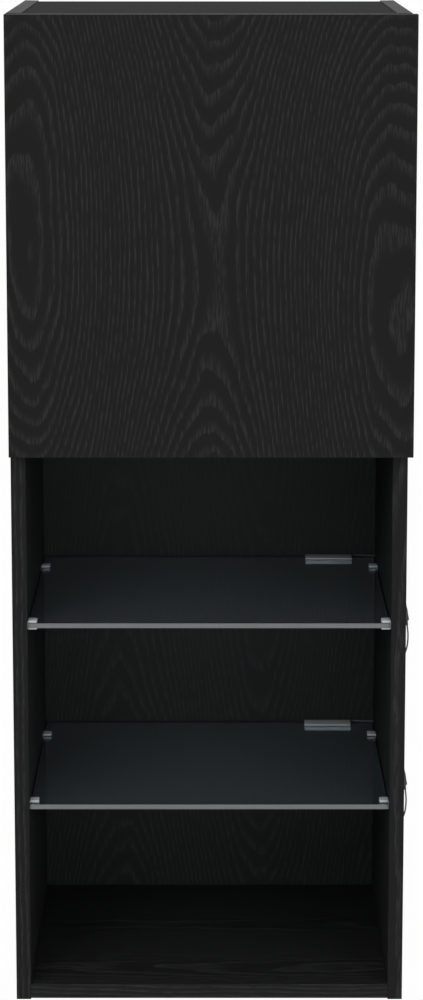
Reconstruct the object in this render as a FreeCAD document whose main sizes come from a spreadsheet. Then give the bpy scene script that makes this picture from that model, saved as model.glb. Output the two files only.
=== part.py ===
"""Hanging wall cabinet: a closed compartment above, two lit glass shelves below.

Sizes are in millimetres. X runs to the right, the front faces -Y, the wall is the plane Y = 0 and
+Z is up. The places below count Z from the sides' lower ends; every node is then lowered by
mount_height, so that the origin is the middle of the two wall screw holes, on the wall plane.
"""

import FreeCAD, Part
import math
import os
import re
import string

import Sketcher

Vector = FreeCAD.Vector

DRIVING = {
    # carcass
    "body_width": 400.0,
    "body_height": 1020.0,
    "body_depth": 284.0,
    "board": 15.0,
    "back_thickness": 3.0,
    "rebate_width": 8.0,
    "rebate_clear": 0.3,
    "panel_inset": 1.25,
    "divider_height": 578.5,
    "edge_break": 0.4,
    "overcut": 1.0,
    # door
    "door_drop": 0.5,
    "door_top_gap": 0.5,
    "door_left_overhang": 0.6,
    "door_right_overhang": 4.4,
    "door_gap": 1.0,
    "bumper_radius": 4.0,
    "bumper_thickness": 0.7,
    "bumper_inset": 12.0,
    # concealed hinges
    "hinge_inset": 80.0,
    "cup_radius": 17.5,
    "cup_height": 12.5,
    "cup_floor": 1.0,
    "cup_tab": 3.0,
    "cup_mouth": 31.0,
    "cup_mouth_wall": 1.4,
    "cup_mouth_half": 5.0,
    "flange_thickness": 0.6,
    "flange_half": 30.0,
    "flange_width": 14.0,
    "flange_shift": 2.0,
    "cup_screw_reach": 24.0,
    "cup_screw_shift": 6.0,
    "cup_screw_length": 9.0,
    "cup_pin_inset": 7.0,
    "cup_pin_depth": 5.0,
    "arm_pin_inset": 12.0,
    "arm_pin_depth": 6.0,
    "pin_radius": 1.25,
    "pin_half": 6.3,
    "pin_fit": 0.05,
    "pin_end_gap": 0.1,
    "link_half_width": 1.75,
    "link_half": 4.2,
    "link_eye_wall": 0.55,
    "arm_half": 6.2,
    "arm_sheet": 1.2,
    "arm_length": 55.0,
    "arm_width": 9.5,
    "arm_nose": 3.0,
    "arm_web_reach": 5.0,
    "arm_screw_length": 10.0,
    "plate_setback": 37.0,
    "plate_length": 30.0,
    "plate_half": 21.0,
    "plate_thickness": 1.5,
    "plate_boss": 13.0,
    "plate_boss_gap": 0.4,
    "plate_screw_reach": 16.0,
    "plate_screw_length": 12.0,
    "screw_radius": 1.7,
    "screw_head_radius": 3.2,
    "screw_head": 1.2,
    "screw_fit": 0.1,
    # board joints
    "joint_front": 50.0,
    "joint_rear": 60.0,
    "dowel_step": 32.0,
    "dowel_radius": 4.0,
    "dowel_length": 30.0,
    "dowel_in_side": 12.0,
    "hole_slack": 1.0,
    "joint_fit": 0.05,
    "cam_reach": 24.0,
    "cam_radius": 7.5,
    "cam_height": 12.5,
    "bolt_radius": 3.0,
    "bolt_hole_radius": 4.0,
    "bolt_thread_radius": 2.5,
    "bolt_thread": 11.0,
    "nail_radius": 0.7,
    "nail_length": 15.0,
    "nail_head_radius": 2.0,
    "nail_head": 0.6,
    "nail_spread": 120.0,
    "nail_end": 60.0,
    "nail_low": 300.0,
    "nail_middle": 520.0,
    "nail_high": 700.0,
    # glass shelves and their clamp supports
    "glass": 5.0,
    "glass_depth": 277.0,
    "glass_side_gap": 1.0,
    "glass_rear_gap": 1.2,
    "upper_shelf_top": 401.75,
    "lower_shelf_top": 209.75,
    "support_reach": 9.8,
    "support_length": 12.0,
    "support_web": 0.7,
    "support_lip": 3.0,
    "support_foot": 1.5,
    "support_pin_radius": 2.5,
    "support_pin": 8.0,
    "upper_support_setback": 0.5,
    "lower_support_setback": 4.5,
    "rear_support_setback": 42.0,
    # lamps
    "lamp_right": 158.6,
    "clip_length": 51.5,
    "clip_depth": 16.0,
    "clip_sheet": 0.8,
    "clip_jaw": 1.6,
    "clip_gap": 0.2,
    "lamp_tray": 4.2,
    "led_board": 0.8,
    "chip_length": 3.5,
    "chip_width": 2.8,
    "chip_height": 0.5,
    "chip_step": 16.0,
    "lens_thickness": 2.0,
    "lamp_fit": 0.2,
    "grommet_radius": 1.6,
    "grommet_length": 3.0,
    "grommet_rise": 0.6,
    "lead_diameter": 1.8,
    "lead_setback": 7.0,
    "lead_lift": 1.1,
    "lead_hole_radius": 2.5,
    "connector_length": 12.0,
    "connector_width": 6.4,
    "connector_thickness": 4.4,
    "connector_tilt": 10.5,
    "connector_round": 0.8,
    "coil_mean_radius": 10.5,
    "coil_section": 7.4,
    "plug_length": 14.0,
    "plug_gap": 0.2,
    # wall brackets
    "bracket_spacing": 300.0,
    "bracket_width": 30.0,
    "bracket_leg": 40.0,
    "bracket_sheet": 2.0,
    "bracket_hole_drop": 25.0,
    "bracket_hole_radius": 3.25,
    "bracket_screw_radius": 1.9,
    "bracket_screw": 11.0,
}

INNER = "(body_width / 2 - board)"
RAIL_WIDTH = "(body_width - 2 * board)"
RAIL_DEPTH = "(body_depth - back_thickness)"
TOP_PANEL_HEIGHT = "(body_height - panel_inset - board)"
MOUNT_HEIGHT = f"({TOP_PANEL_HEIGHT} - bracket_hole_drop)"
DOOR_LEFT = "(-body_width / 2 - door_left_overhang)"
DOOR_WIDTH = "(body_width + door_left_overhang + door_right_overhang)"
DOOR_BOTTOM = "(divider_height - door_drop)"
DOOR_TOP = "(body_height - door_top_gap)"
DOOR_HEIGHT = f"({DOOR_TOP} - {DOOR_BOTTOM})"
DOOR_BACK = "(-body_depth - door_gap)"
CUP_X = f"({DOOR_LEFT} + cup_tab + cup_radius)"
CUP_PIN = (f"({DOOR_LEFT} + cup_pin_inset)", f"({DOOR_BACK} - cup_pin_depth)")
ARM_PIN = (f"(-{INNER} + arm_pin_inset)", "(-body_depth + arm_pin_depth)")
ARM_WEB = f"({ARM_PIN[0]} + arm_web_reach)"
PLATE_Y = "(-body_depth + plate_setback)"
GLASS_BACK = "(-back_thickness - glass_rear_gap)"
RAILS = {
    "bottom_panel": "panel_inset",
    "divider_panel": "divider_height",
    "top_panel": TOP_PANEL_HEIGHT,
}
HINGES = {
    "lower_hinge": f"({DOOR_BOTTOM} + hinge_inset)",
    "upper_hinge": f"({DOOR_TOP} - hinge_inset)",
}
SHELVES = {"upper": "upper_shelf_top", "lower": "lower_shelf_top"}
# heights of the nails in the sides
NAIL_LEVELS = ("nail_end", "nail_low", "nail_middle", "nail_high", "(body_height - nail_end)")
# bends of a hinge link: X and Y from its cup pin
LINK_BENDS = ((4, -4.2), (12, -4), (18, 1))
# chosen places on the leads, with Z from the shelf's top
CONNECTOR_TOP = Vector(216.5, -8, -49.9)
COIL_CENTRE = Vector(204.3, -18.2, -146)
BEND_SHARE = 0.45  # part of the shorter run that an arc of a lead takes up
VOLUME_TOLERANCE = 0.02  # part of a lead's volume that may differ from section times length
LEAST_CUT = 0.001  # cubic millimetres that a pocket must remove
AXIS_TURNS = {  # turns a cylinder's axis from Z to the named axis
    "x": FreeCAD.Rotation(Vector(0, 1, 0), 90),
    "y": FreeCAD.Rotation(Vector(1, 0, 0), -90),
    "z": FreeCAD.Rotation(),
}

document = FreeCAD.newDocument("hanging_wall_cabinet")
sheet = document.addObject("Spreadsheet::Sheet", "Sizes")
nodes = []
pocket_checks = []


def fill_sheet():
    """Write each driving size once, with its alias."""
    for row, (alias, value) in enumerate(DRIVING.items(), start=1):
        sheet.set(f"A{row}", alias)
        sheet.set(f"B{row}", str(value))
        sheet.setAlias(f"B{row}", alias)
    document.recompute()


def size(alias):
    """The number that the sheet holds under an alias."""
    return float(sheet.get(alias))


def bind(item, expressions):
    """Bind properties of a document object to sums of the sheet's sizes."""
    for name, words in expressions.items():
        item.setExpression(name, re.sub(r"[a-z]+(_[a-z]+)*", lambda m: "Sizes." + m.group(), str(words)))


def place(item, x, y, z):
    """Bind a position; Z counts from the sides' lower ends."""
    spots = {"x": x, "y": y, "z": f"{z} - {MOUNT_HEIGHT}"}
    bind(item, {f"Placement.Base.{axis}": words for axis, words in spots.items()})


def node(item, label):
    """Register a finished piece under its own name."""
    item.Label = label
    nodes.append(item)
    return item


def box(name, length, width, height, x, y, z):
    """A bound Part::Box with its low corner at x, y, z."""
    item = document.addObject("Part::Box", name)
    bind(item, {"Length": length, "Width": width, "Height": height})
    place(item, x, y, z)
    return item


def rod(name, radius, length, x, y, z, axis="z"):
    """A bound Part::Cylinder that runs from x, y, z along an axis."""
    item = document.addObject("Part::Cylinder", name)
    item.Placement = FreeCAD.Placement(Vector(), AXIS_TURNS[axis])
    bind(item, {"Radius": radius, "Height": length})
    place(item, x, y, z)
    return item


def join(name, pieces):
    """One solid from overlapping or touching pieces."""
    item = document.addObject("Part::MultiFuse", name)
    item.Shapes = pieces
    return item


def cut(name, base, tools):
    """A base without its tools."""
    item = document.addObject("Part::Cut", name)
    item.Base = base
    item.Tool = tools[0] if len(tools) == 1 else join(name + "_tools", tools)
    return item


def group(name, pieces):
    """Identical pieces as separate solids of one node."""
    item = document.addObject("Part::Compound", name)
    item.Links = pieces
    return node(item, name)


def sketch_on(body, name, role, offset="0"):
    """A sketch on one of the body's own origin planes, moved along its normal."""
    sketch = body.newObject("Sketcher::SketchObject", name)
    plane = next(o for o in body.Origin.OriginFeatures if o.Role == role)
    sketch.AttachmentSupport = [(plane, "")]
    sketch.MapMode = "FlatFace"
    bind(sketch, {"AttachmentOffset.Base.z": offset})
    return sketch


def hold_point(sketch, label, geometry, position, u, v):
    """Tie a sketch point to its distances from the sketch's origin."""
    for kind, words in (("DistanceX", u), ("DistanceY", v)):
        index = sketch.addConstraint(Sketcher.Constraint(kind, -1, 1, geometry, position, 1.0))
        sketch.renameConstraint(index, f"{label}_{kind}")
        bind(sketch, {f"Constraints.{label}_{kind}": words})


def rectangle(sketch, u_low, v_low, u_high, v_high):
    """A bound rectangle between two corners."""
    corners = [Vector(1, 1, 0), Vector(9, 1, 0), Vector(9, 9, 0), Vector(1, 9, 0)]
    lines = [Part.LineSegment(corners[i], corners[(i + 1) % 4]) for i in range(4)]
    first = sketch.addGeometry(lines, False)[0]
    for i in range(4):
        sketch.addConstraint(Sketcher.Constraint("Coincident", first + i, 2, first + (i + 1) % 4, 1))
        kind = "Horizontal" if i % 2 == 0 else "Vertical"
        sketch.addConstraint(Sketcher.Constraint(kind, first + i))
    hold_point(sketch, "low", first, 1, u_low, v_low)
    hold_point(sketch, "high", first + 2, 1, u_high, v_high)


def pocket(body, sketch, depth, along_normal):
    """Cut a sketch into its body, and note it for the check that it removes something."""
    before = body.Tip
    item = body.newObject("PartDesign::Pocket", sketch.Name + "_pocket")
    item.Profile = sketch
    item.Reversed = along_normal
    bind(item, {"Length": depth})
    pocket_checks.append((before, item))


def drill(body, name, role, offset, along_normal, spots, radius, depth):
    """Round holes of one size from one plane of a body."""
    sketch = sketch_on(body, name, role, offset)
    for i, (letter, (u, v)) in enumerate(zip(string.ascii_lowercase, spots)):
        circle = Part.Circle(Vector(10 + 10 * i, 10, 0), Vector(0, 0, 1), 1)
        index = sketch.addGeometry(circle, False)
        hold_point(sketch, f"centre{letter}", index, 3, u, v)
        label = f"radius{letter}"
        constraint = sketch.addConstraint(Sketcher.Constraint("Radius", index, 1.0))
        sketch.renameConstraint(constraint, label)
        bind(sketch, {f"Constraints.{label}": radius})
    pocket(body, sketch, depth, along_normal)


def board_body(name, width, depth, height, x, y, z, edge_break=None):
    """A sawn board as a PartDesign body, its low corner at the body's origin."""
    body = document.addObject("PartDesign::Body", name)
    sketch = sketch_on(body, name + "_outline", "XY_Plane")
    rectangle(sketch, "0", "0", width, depth)
    pad = body.newObject("PartDesign::Pad", name + "_pad")
    pad.Profile = sketch
    bind(pad, {"Length": height})
    if edge_break:
        document.recompute()
        chamfer = body.newObject("PartDesign::Chamfer", name + "_edges")
        chamfer.Base = (pad, [f"Edge{i + 1}" for i in range(len(pad.Shape.Edges))])
        bind(chamfer, {"Size": edge_break})
    place(body, x, y, z)
    return node(body, name)


def joint_spots(step=0):
    """Depths, from the carcass front, of the cam bolts or, one step inward, of the dowels."""
    inward = f" + {step}" if step else ""
    outward = f" - {step}" if step else ""
    return [f"joint_front{inward}", f"body_depth - joint_rear{outward}"]


def side_panel(name, side):
    """A side with its rear rebate and all the holes in its inner and rear faces."""
    left = side < 0
    x = "-body_width / 2" if left else INNER
    body = board_body(name, "board", "body_depth", "body_height", x, "-body_depth", "0", "edge_break")
    rebate = sketch_on(body, name + "_rebate", "XY_Plane", "0")
    low, high = ("board - rebate_width", "board + overcut") if left else ("-overcut", "rebate_width")
    rectangle(rebate, low, RAIL_DEPTH, high, "body_depth + overcut")
    pocket(body, rebate, "body_height", True)
    inner = ("YZ_Plane", "board", False) if left else ("YZ_Plane", "0", True)
    bolts = [(u, f"{low} + board / 2") for low in RAILS.values() for u in joint_spots()]
    drill(body, name + "_bolts", *inner, bolts, "bolt_thread_radius + joint_fit", "bolt_thread + hole_slack")
    dowels = [(u, f"{low} + board / 2") for low in RAILS.values() for u in joint_spots("dowel_step")]
    drill(body, name + "_dowels", *inner, dowels, "dowel_radius + joint_fit", "dowel_in_side + hole_slack")
    pins = []
    for shelf, top in SHELVES.items():
        for y in support_places(shelf):
            pins.append((f"body_depth + {y} + support_length / 2", f"{top} - glass / 2"))
    drill(body, name + "_pins", *inner, pins, "support_pin_radius + joint_fit", "support_pin + hole_slack")
    middle = "board - rebate_width / 2" if left else "rebate_width / 2"
    nails = [(middle, level) for level in NAIL_LEVELS]
    drill(body, name + "_nails", "XZ_Plane", f"-{RAIL_DEPTH}", True, nails, "nail_radius + joint_fit",
          "nail_length")
    return body, inner


def sides():
    """Both side panels: the hinge screws are in the left one, the lead holes in the right one."""
    left, inner = side_panel("left_side_panel", -1)
    screws = []
    for level in HINGES.values():
        for sign in ("+", "-"):
            screws.append(("plate_setback", f"{level} {sign} plate_screw_reach"))
    drill(left, "hinge_screws", *inner, screws, "screw_radius + screw_fit", "plate_screw_length + hole_slack")
    right, inner = side_panel("right_side_panel", 1)
    leads = [("body_depth - lead_setback", f"{top} + lead_lift") for top in SHELVES.values()]
    drill(right, "lead_holes", *inner, leads, "lead_hole_radius", "board")


def rails():
    """The three boards between the sides."""
    for name, low in RAILS.items():
        body = board_body(name, RAIL_WIDTH, RAIL_DEPTH, "board", f"-{INNER}", "-body_depth", low,
                          "edge_break")
        bolts = [(u, "board / 2") for u in joint_spots()]
        dowels = [(u, "board / 2") for u in joint_spots("dowel_step")]
        deep = "dowel_length - dowel_in_side + hole_slack"
        for end, offset, along in (("left", "0", True), ("right", RAIL_WIDTH, False)):
            drill(body, f"{name}_{end}_bolts", "YZ_Plane", offset, along, bolts, "bolt_hole_radius",
                  "cam_reach")
            drill(body, f"{name}_{end}_dowels", "YZ_Plane", offset, along, dowels,
                  "dowel_radius + joint_fit", deep)
        cams = [(u, v) for u in ("cam_reach", f"{RAIL_WIDTH} - cam_reach") for v in joint_spots()]
        face = ("board", False) if name == "divider_panel" else ("0", True)
        drill(body, name + "_cams", "XY_Plane", *face, cams, "cam_radius + joint_fit",
              "cam_height + joint_fit")
        nails = [(f"{RAIL_WIDTH} / 2 {shift}", "board / 2") for shift in ("- nail_spread", "", "+ nail_spread")]
        drill(body, name + "_nails", "XZ_Plane", f"-{RAIL_DEPTH}", True, nails, "nail_radius + joint_fit",
              "nail_length")
        if name == "top_panel":
            screws = [(f"{RAIL_WIDTH} / 2 {sign} bracket_spacing / 2", f"{RAIL_DEPTH} - bracket_leg / 2")
                      for sign in ("-", "+")]
            drill(body, "bracket_screw_holes", "XY_Plane", "0", True, screws,
                  "bracket_screw_radius + joint_fit", "bracket_screw + hole_slack")


def nail_spots():
    """The nails' X and Z places, in the sides and then in the three rails."""
    side_x = "(body_width / 2 - board + rebate_width / 2)"
    spots = [(sign + side_x, level) for sign in ("-", "") for level in NAIL_LEVELS]
    for low in RAILS.values():
        spots += [(x, f"({low} + board / 2)") for x in ("-nail_spread", "0", "nail_spread")]
    return spots


def back():
    """The thin back board in the rebates, with its nails."""
    half = f"({INNER} + rebate_width - rebate_clear)"
    body = board_body("back_panel", f"2 * {half}", "back_thickness", "body_height - 2 * panel_inset",
                      f"-{half}", "-back_thickness", "panel_inset")
    holes = [(f"{half} {sign} bracket_spacing / 2", f"{MOUNT_HEIGHT} - panel_inset") for sign in ("-", "+")]
    drill(body, "back_wall_holes", "XZ_Plane", "0", False, holes, "bracket_hole_radius", "back_thickness")
    nails = [(f"{half} + {x}", f"{z} - panel_inset") for x, z in nail_spots()]
    drill(body, "back_nail_holes", "XZ_Plane", "-back_thickness", True, nails, "nail_radius + joint_fit",
          "back_thickness")
    drill(body, "back_nail_seats", "XZ_Plane", "-back_thickness", True, nails,
          "nail_head_radius + joint_fit", "nail_head + joint_fit")
    pieces = []
    for i, (x, z) in enumerate(nail_spots()):
        shank = rod(f"nail_shank_{i}", "nail_radius", "nail_length - nail_head", x, "-nail_length", z, "y")
        head = rod(f"nail_head_{i}", "nail_head_radius", "nail_head", x, "-nail_head", z, "y")
        pieces.append(join(f"nail_{i}", [shank, head]))
    group("back_panel_nails", pieces)


def joint_hardware():
    """Cams, their bolts and the wood dowels at both ends of the three rails."""
    cams, bolts, dowels = [], [], []
    for name, low in RAILS.items():
        middle = f"({low} + board / 2)"
        cam_low = f"({low} + board - cam_height)" if name == "divider_panel" else low
        for end, sign in (("left", "-"), ("right", "")):
            for spot in joint_spots():
                y = f"(-body_depth + {spot})"
                tag = f"{name}_{end}_{len(cams)}"
                x = f"{sign}({INNER} - cam_reach)"
                drum = rod(f"cam_drum_{tag}", "cam_radius", "cam_height", x, y, cam_low)
                slot_x = f"{sign}({INNER} - cam_reach + cam_radius / 2)"
                slot = box(f"cam_slot_{tag}", "3 * cam_radius", "2 * bolt_hole_radius", "2 * bolt_hole_radius",
                           f"{slot_x} - 1.5 * cam_radius", f"{y} - bolt_hole_radius",
                           f"{middle} - bolt_hole_radius")
                cams.append(cut(f"cam_{tag}", drum, [slot]))
                reach = "(cam_reach - cam_radius / 2)"
                shank_x = f"(-{INNER})" if sign else f"({INNER} - {reach})"
                thread_x = f"(-{INNER} - bolt_thread)" if sign else INNER
                shank = rod(f"bolt_shank_{tag}", "bolt_radius", reach, shank_x, y, middle, "x")
                thread = rod(f"bolt_thread_{tag}", "bolt_thread_radius", "bolt_thread", thread_x, y, middle, "x")
                bolts.append(join(f"bolt_{tag}", [shank, thread]))
            for spot in joint_spots("dowel_step"):
                y = f"(-body_depth + {spot})"
                start = f"(-{INNER} - dowel_in_side)" if sign else f"({INNER} + dowel_in_side - dowel_length)"
                dowels.append(rod(f"dowel_{name}_{end}_{len(dowels)}", "dowel_radius", "dowel_length", start,
                                  y, middle, "x"))
    group("cam_locks", cams)
    group("cam_bolts", bolts)
    group("wood_dowels", dowels)


def door():
    """The slab door with its cup bores, screw holes and bumpers."""
    body = board_body("door_panel", DOOR_WIDTH, "board", DOOR_HEIGHT, DOOR_LEFT, f"{DOOR_BACK} - board",
                      DOOR_BOTTOM, "edge_break")
    levels = ["hinge_inset", f"{DOOR_HEIGHT} - hinge_inset"]
    cups = [("cup_tab + cup_radius", level) for level in levels]
    drill(body, "cup_bores", "XZ_Plane", "-board", True, cups, "cup_radius + joint_fit",
          "cup_height + joint_fit")
    screws = [("cup_tab + cup_radius + cup_screw_shift", f"{level} {sign} cup_screw_reach")
              for level in levels for sign in ("-", "+")]
    drill(body, "cup_screw_holes", "XZ_Plane", "-board", True, screws, "screw_radius + screw_fit",
          "cup_screw_length + hole_slack")
    bumpers = []
    for tag, z in (("low", f"{DOOR_BOTTOM} + bumper_inset"), ("high", f"{DOOR_TOP} - bumper_inset")):
        bumpers.append(rod(f"bumper_{tag}", "bumper_radius", "bumper_thickness",
                           "body_width / 2 - board / 2", DOOR_BACK, z, "y"))
    group("door_bumpers", bumpers)


def hinge_cup(name, level):
    """The cup in the door: a drum with a mouth, a thin flange and holes for the pin and the screws."""
    drum = rod(name + "_drum", "cup_radius", "cup_height", CUP_X, f"{DOOR_BACK} - cup_height", level, "y")
    flange = box(name + "_flange", "flange_width", "flange_thickness", "2 * flange_half",
                 f"{CUP_X} - flange_shift", DOOR_BACK, f"{level} - flange_half")
    rim = rod(name + "_rim", "cup_radius", "flange_thickness", CUP_X, DOOR_BACK, level, "y")
    mouth = box(name + "_mouth", "cup_mouth", "cup_height", "2 * cup_mouth_half",
                f"{CUP_X} - cup_radius + cup_mouth_wall", f"{DOOR_BACK} - cup_height + cup_floor",
                f"{level} - cup_mouth_half")
    pin_hole = rod(name + "_pin_hole", "pin_radius + pin_fit", "2 * (pin_half + pin_end_gap)", *CUP_PIN,
                   f"{level} - pin_half - pin_end_gap")
    screw_holes = []
    for i, sign in enumerate(("-", "+")):
        screw_holes.append(rod(f"{name}_screw_hole_{i}", "screw_radius + screw_fit", "3 * flange_thickness",
                               f"{CUP_X} + cup_screw_shift", f"{DOOR_BACK} - flange_thickness",
                               f"{level} {sign} cup_screw_reach", "y"))
    shell = cut(name, join(name + "_solid", [drum, flange, rim]), [mouth, pin_hole, *screw_holes])
    node(shell, name)


def hinge_arm(name, level):
    """The channel arm, open towards the side panel, with holes for its pin and its screw."""
    nose = f"({ARM_PIN[1]} - arm_nose)"
    outer = box(name + "_outer", "arm_width", "arm_length", "2 * arm_half", f"{ARM_WEB} - arm_width", nose,
                f"{level} - arm_half")
    inner = box(name + "_inner", "arm_width", "arm_length + 2 * overcut", "2 * (arm_half - arm_sheet)",
                f"{ARM_WEB} - arm_width - arm_sheet", f"{nose} - overcut",
                f"{level} - arm_half + arm_sheet")
    pin_hole = rod(name + "_pin_hole", "pin_radius + joint_fit", "2 * (arm_half + overcut)", *ARM_PIN,
                   f"{level} - arm_half - overcut")
    screw_hole = rod(name + "_screw_hole", "screw_radius + screw_fit", "4 * arm_sheet",
                     f"{ARM_WEB} - 2 * arm_sheet", PLATE_Y, level, "x")
    node(cut(name, outer, [inner, pin_hole, screw_hole]), name)


def hinge_plate(name, level):
    """The mounting plate on the side panel, with the boss that the arm's screw enters."""
    low = f"({PLATE_Y} - plate_length / 2)"
    base = box(name + "_base", "plate_thickness", "plate_length", "2 * plate_half", f"-{INNER}", low,
               f"{level} - plate_half")
    boss_half = "(arm_half - arm_sheet - plate_boss_gap)"
    boss = box(name + "_boss", "plate_boss", "plate_length", f"2 * {boss_half}",
               f"-{INNER} + plate_thickness", low, f"{level} - {boss_half}")
    holes = [rod(name + "_arm_hole", "screw_radius + screw_fit", "plate_boss", f"-{INNER} + plate_thickness",
                 PLATE_Y, level, "x")]
    for i, sign in enumerate(("-", "+")):
        holes.append(rod(f"{name}_hole_{i}", "screw_radius + screw_fit", "2 * plate_thickness",
                         f"-{INNER}", PLATE_Y, f"{level} {sign} plate_screw_reach", "x"))
    node(cut(name, join(name + "_solid", [base, boss]), holes), name)


def hinge_pin_places(level):
    """Where the cup pin and the arm pin pass a level, from the sheet's numbers."""
    side = -size("body_width") / 2
    cup_pin = Vector(side - size("door_left_overhang") + size("cup_pin_inset"),
                     -size("body_depth") - size("door_gap") - size("cup_pin_depth"), level)
    arm_pin = Vector(side + size("board") + size("arm_pin_inset"),
                     -size("body_depth") + size("arm_pin_depth"), level)
    return cup_pin, arm_pin


def gooseneck(level):
    """One hinge link: it dips into the cup and rises round the side panel's front edge to the arm."""
    start, end = hinge_pin_places(level - size("link_half"))
    points = [start, *(start + Vector(x, y, 0) for x, y in LINK_BENDS), end]
    half, tall = size("link_half_width"), 2 * size("link_half")
    solids = []
    for a, b in zip(points, points[1:]):
        along = b - a
        bar = Part.makeBox(along.Length, 2 * half, tall, Vector(0, -half, 0))
        turn = FreeCAD.Rotation(Vector(1, 0, 0), along)
        bar.Placement = FreeCAD.Placement(a, turn)
        solids.append(bar)
    solids += [Part.makeCylinder(half, tall, p) for p in points[1:-1]]
    solids += [Part.makeCylinder(half + size("link_eye_wall"), tall, p) for p in (start, end)]
    shape = solids[0].multiFuse(solids[1:]).removeSplitter()
    bore = size("pin_radius") + size("pin_fit")
    for p in (start, end):
        shape = shape.cut(Part.makeCylinder(bore, tall, p))
    return shape


def hinges():
    """Both concealed hinges and their shared groups of pins and screws."""
    cup_pins, arm_pins, cup_screws, plate_screws, arm_screws = [], [], [], [], []
    for name, level in HINGES.items():
        hinge_cup(name + "_cup", level)
        hinge_arm(name + "_arm", level)
        hinge_plate(name + "_plate", level)
        cup_pins.append(rod(name + "_cup_pin", "pin_radius", "2 * pin_half", *CUP_PIN, f"{level} - pin_half"))
        arm_pins.append(rod(name + "_arm_pin", "pin_radius", "2 * arm_half", *ARM_PIN, f"{level} - arm_half"))
        for i, sign in enumerate(("-", "+")):
            z = f"({level} {sign} cup_screw_reach)"
            x = f"({CUP_X} + cup_screw_shift)"
            shank = rod(f"{name}_cup_shank_{i}", "screw_radius", "cup_screw_length", x,
                        f"{DOOR_BACK} - cup_screw_length", z, "y")
            head = rod(f"{name}_cup_head_{i}", "screw_head_radius", "screw_head", x,
                       f"{DOOR_BACK} + flange_thickness", z, "y")
            neck = rod(f"{name}_cup_neck_{i}", "screw_radius", "flange_thickness", x, DOOR_BACK, z, "y")
            cup_screws.append(join(f"{name}_cup_screw_{i}", [shank, neck, head]))
            z = f"({level} {sign} plate_screw_reach)"
            shank = rod(f"{name}_plate_shank_{i}", "screw_radius", "plate_screw_length + plate_thickness",
                        f"-{INNER} - plate_screw_length", PLATE_Y, z, "x")
            head = rod(f"{name}_plate_head_{i}", "screw_head_radius", "screw_head",
                       f"-{INNER} + plate_thickness", PLATE_Y, z, "x")
            plate_screws.append(join(f"{name}_plate_screw_{i}", [shank, head]))
        shank = rod(name + "_arm_shank", "screw_radius", "arm_screw_length", f"{ARM_WEB} - arm_screw_length",
                    PLATE_Y, level, "x")
        head = rod(name + "_arm_head", "screw_head_radius", "screw_head", ARM_WEB, PLATE_Y, level, "x")
        arm_screws.append(join(name + "_arm_screw", [shank, head]))
    group("hinge_cup_pins", cup_pins)
    group("hinge_arm_pins", arm_pins)
    group("hinge_cup_screws", cup_screws)
    group("hinge_plate_screws", plate_screws)
    group("hinge_arm_screws", arm_screws)


def hinge_links():
    """The links as shapes made from the sheet's sizes, because they are bent bars."""
    door_bottom = size("divider_height") - size("door_drop")
    door_top = size("body_height") - size("door_top_gap")
    coded("lower_hinge_link", gooseneck(door_bottom + size("hinge_inset")))
    coded("upper_hinge_link", gooseneck(door_top - size("hinge_inset")))


def coded(name, shape):
    """A node whose shape is made in code, lowered like all the others."""
    item = document.addObject("Part::Feature", name)
    item.Shape = shape
    item.Placement = FreeCAD.Placement(Vector(0, 0, -mount_height()), FreeCAD.Rotation())
    return node(item, name)


def mount_height():
    """Height of the wall screw holes above the sides' lower ends."""
    return size("body_height") - size("panel_inset") - size("board") - size("bracket_hole_drop")


def support_places(shelf):
    """The low Y of the front and the rear supports, as sums of sizes."""
    front = f"({GLASS_BACK} - glass_depth + {shelf}_support_setback)"
    rear = f"({GLASS_BACK} - rear_support_setback - support_length)"
    return [front, rear]


def shelf(name, top):
    """A glass shelf and its four clamp supports with plug-in pins."""
    low = f"({top} - glass)"
    board_body(f"{name}_glass_shelf", f"{RAIL_WIDTH} - 2 * glass_side_gap", "glass_depth", "glass",
               f"-{INNER} + glass_side_gap", f"{GLASS_BACK} - glass_depth", low, "edge_break")
    supports = []
    for i, (sign, y) in enumerate((s, y) for s in (-1, 1) for y in support_places(name)):
        def x_of(reach):
            return f"-{INNER}" if sign < 0 else f"{INNER} - {reach}"
        tag = f"{name}_support_{i}"
        foot = box(tag + "_foot", "support_reach", "support_length", "support_foot", x_of("support_reach"), y,
                   f"{low} - support_foot")
        web = box(tag + "_web", "support_web", "support_length", "glass + support_foot + support_lip",
                  x_of("support_web"), y, f"{low} - support_foot")
        lip = box(tag + "_lip", "support_reach", "support_length", "support_lip", x_of("support_reach"), y, top)
        pin_x = f"-{INNER} - support_pin" if sign < 0 else INNER
        pin = rod(tag + "_pin", "support_pin_radius", "support_pin", pin_x, f"{y} + support_length / 2",
                  f"{low} + glass / 2", "x")
        supports.append(join(tag, [foot, web, lip, pin]))
    group(f"{name}_shelf_supports", supports)


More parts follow.
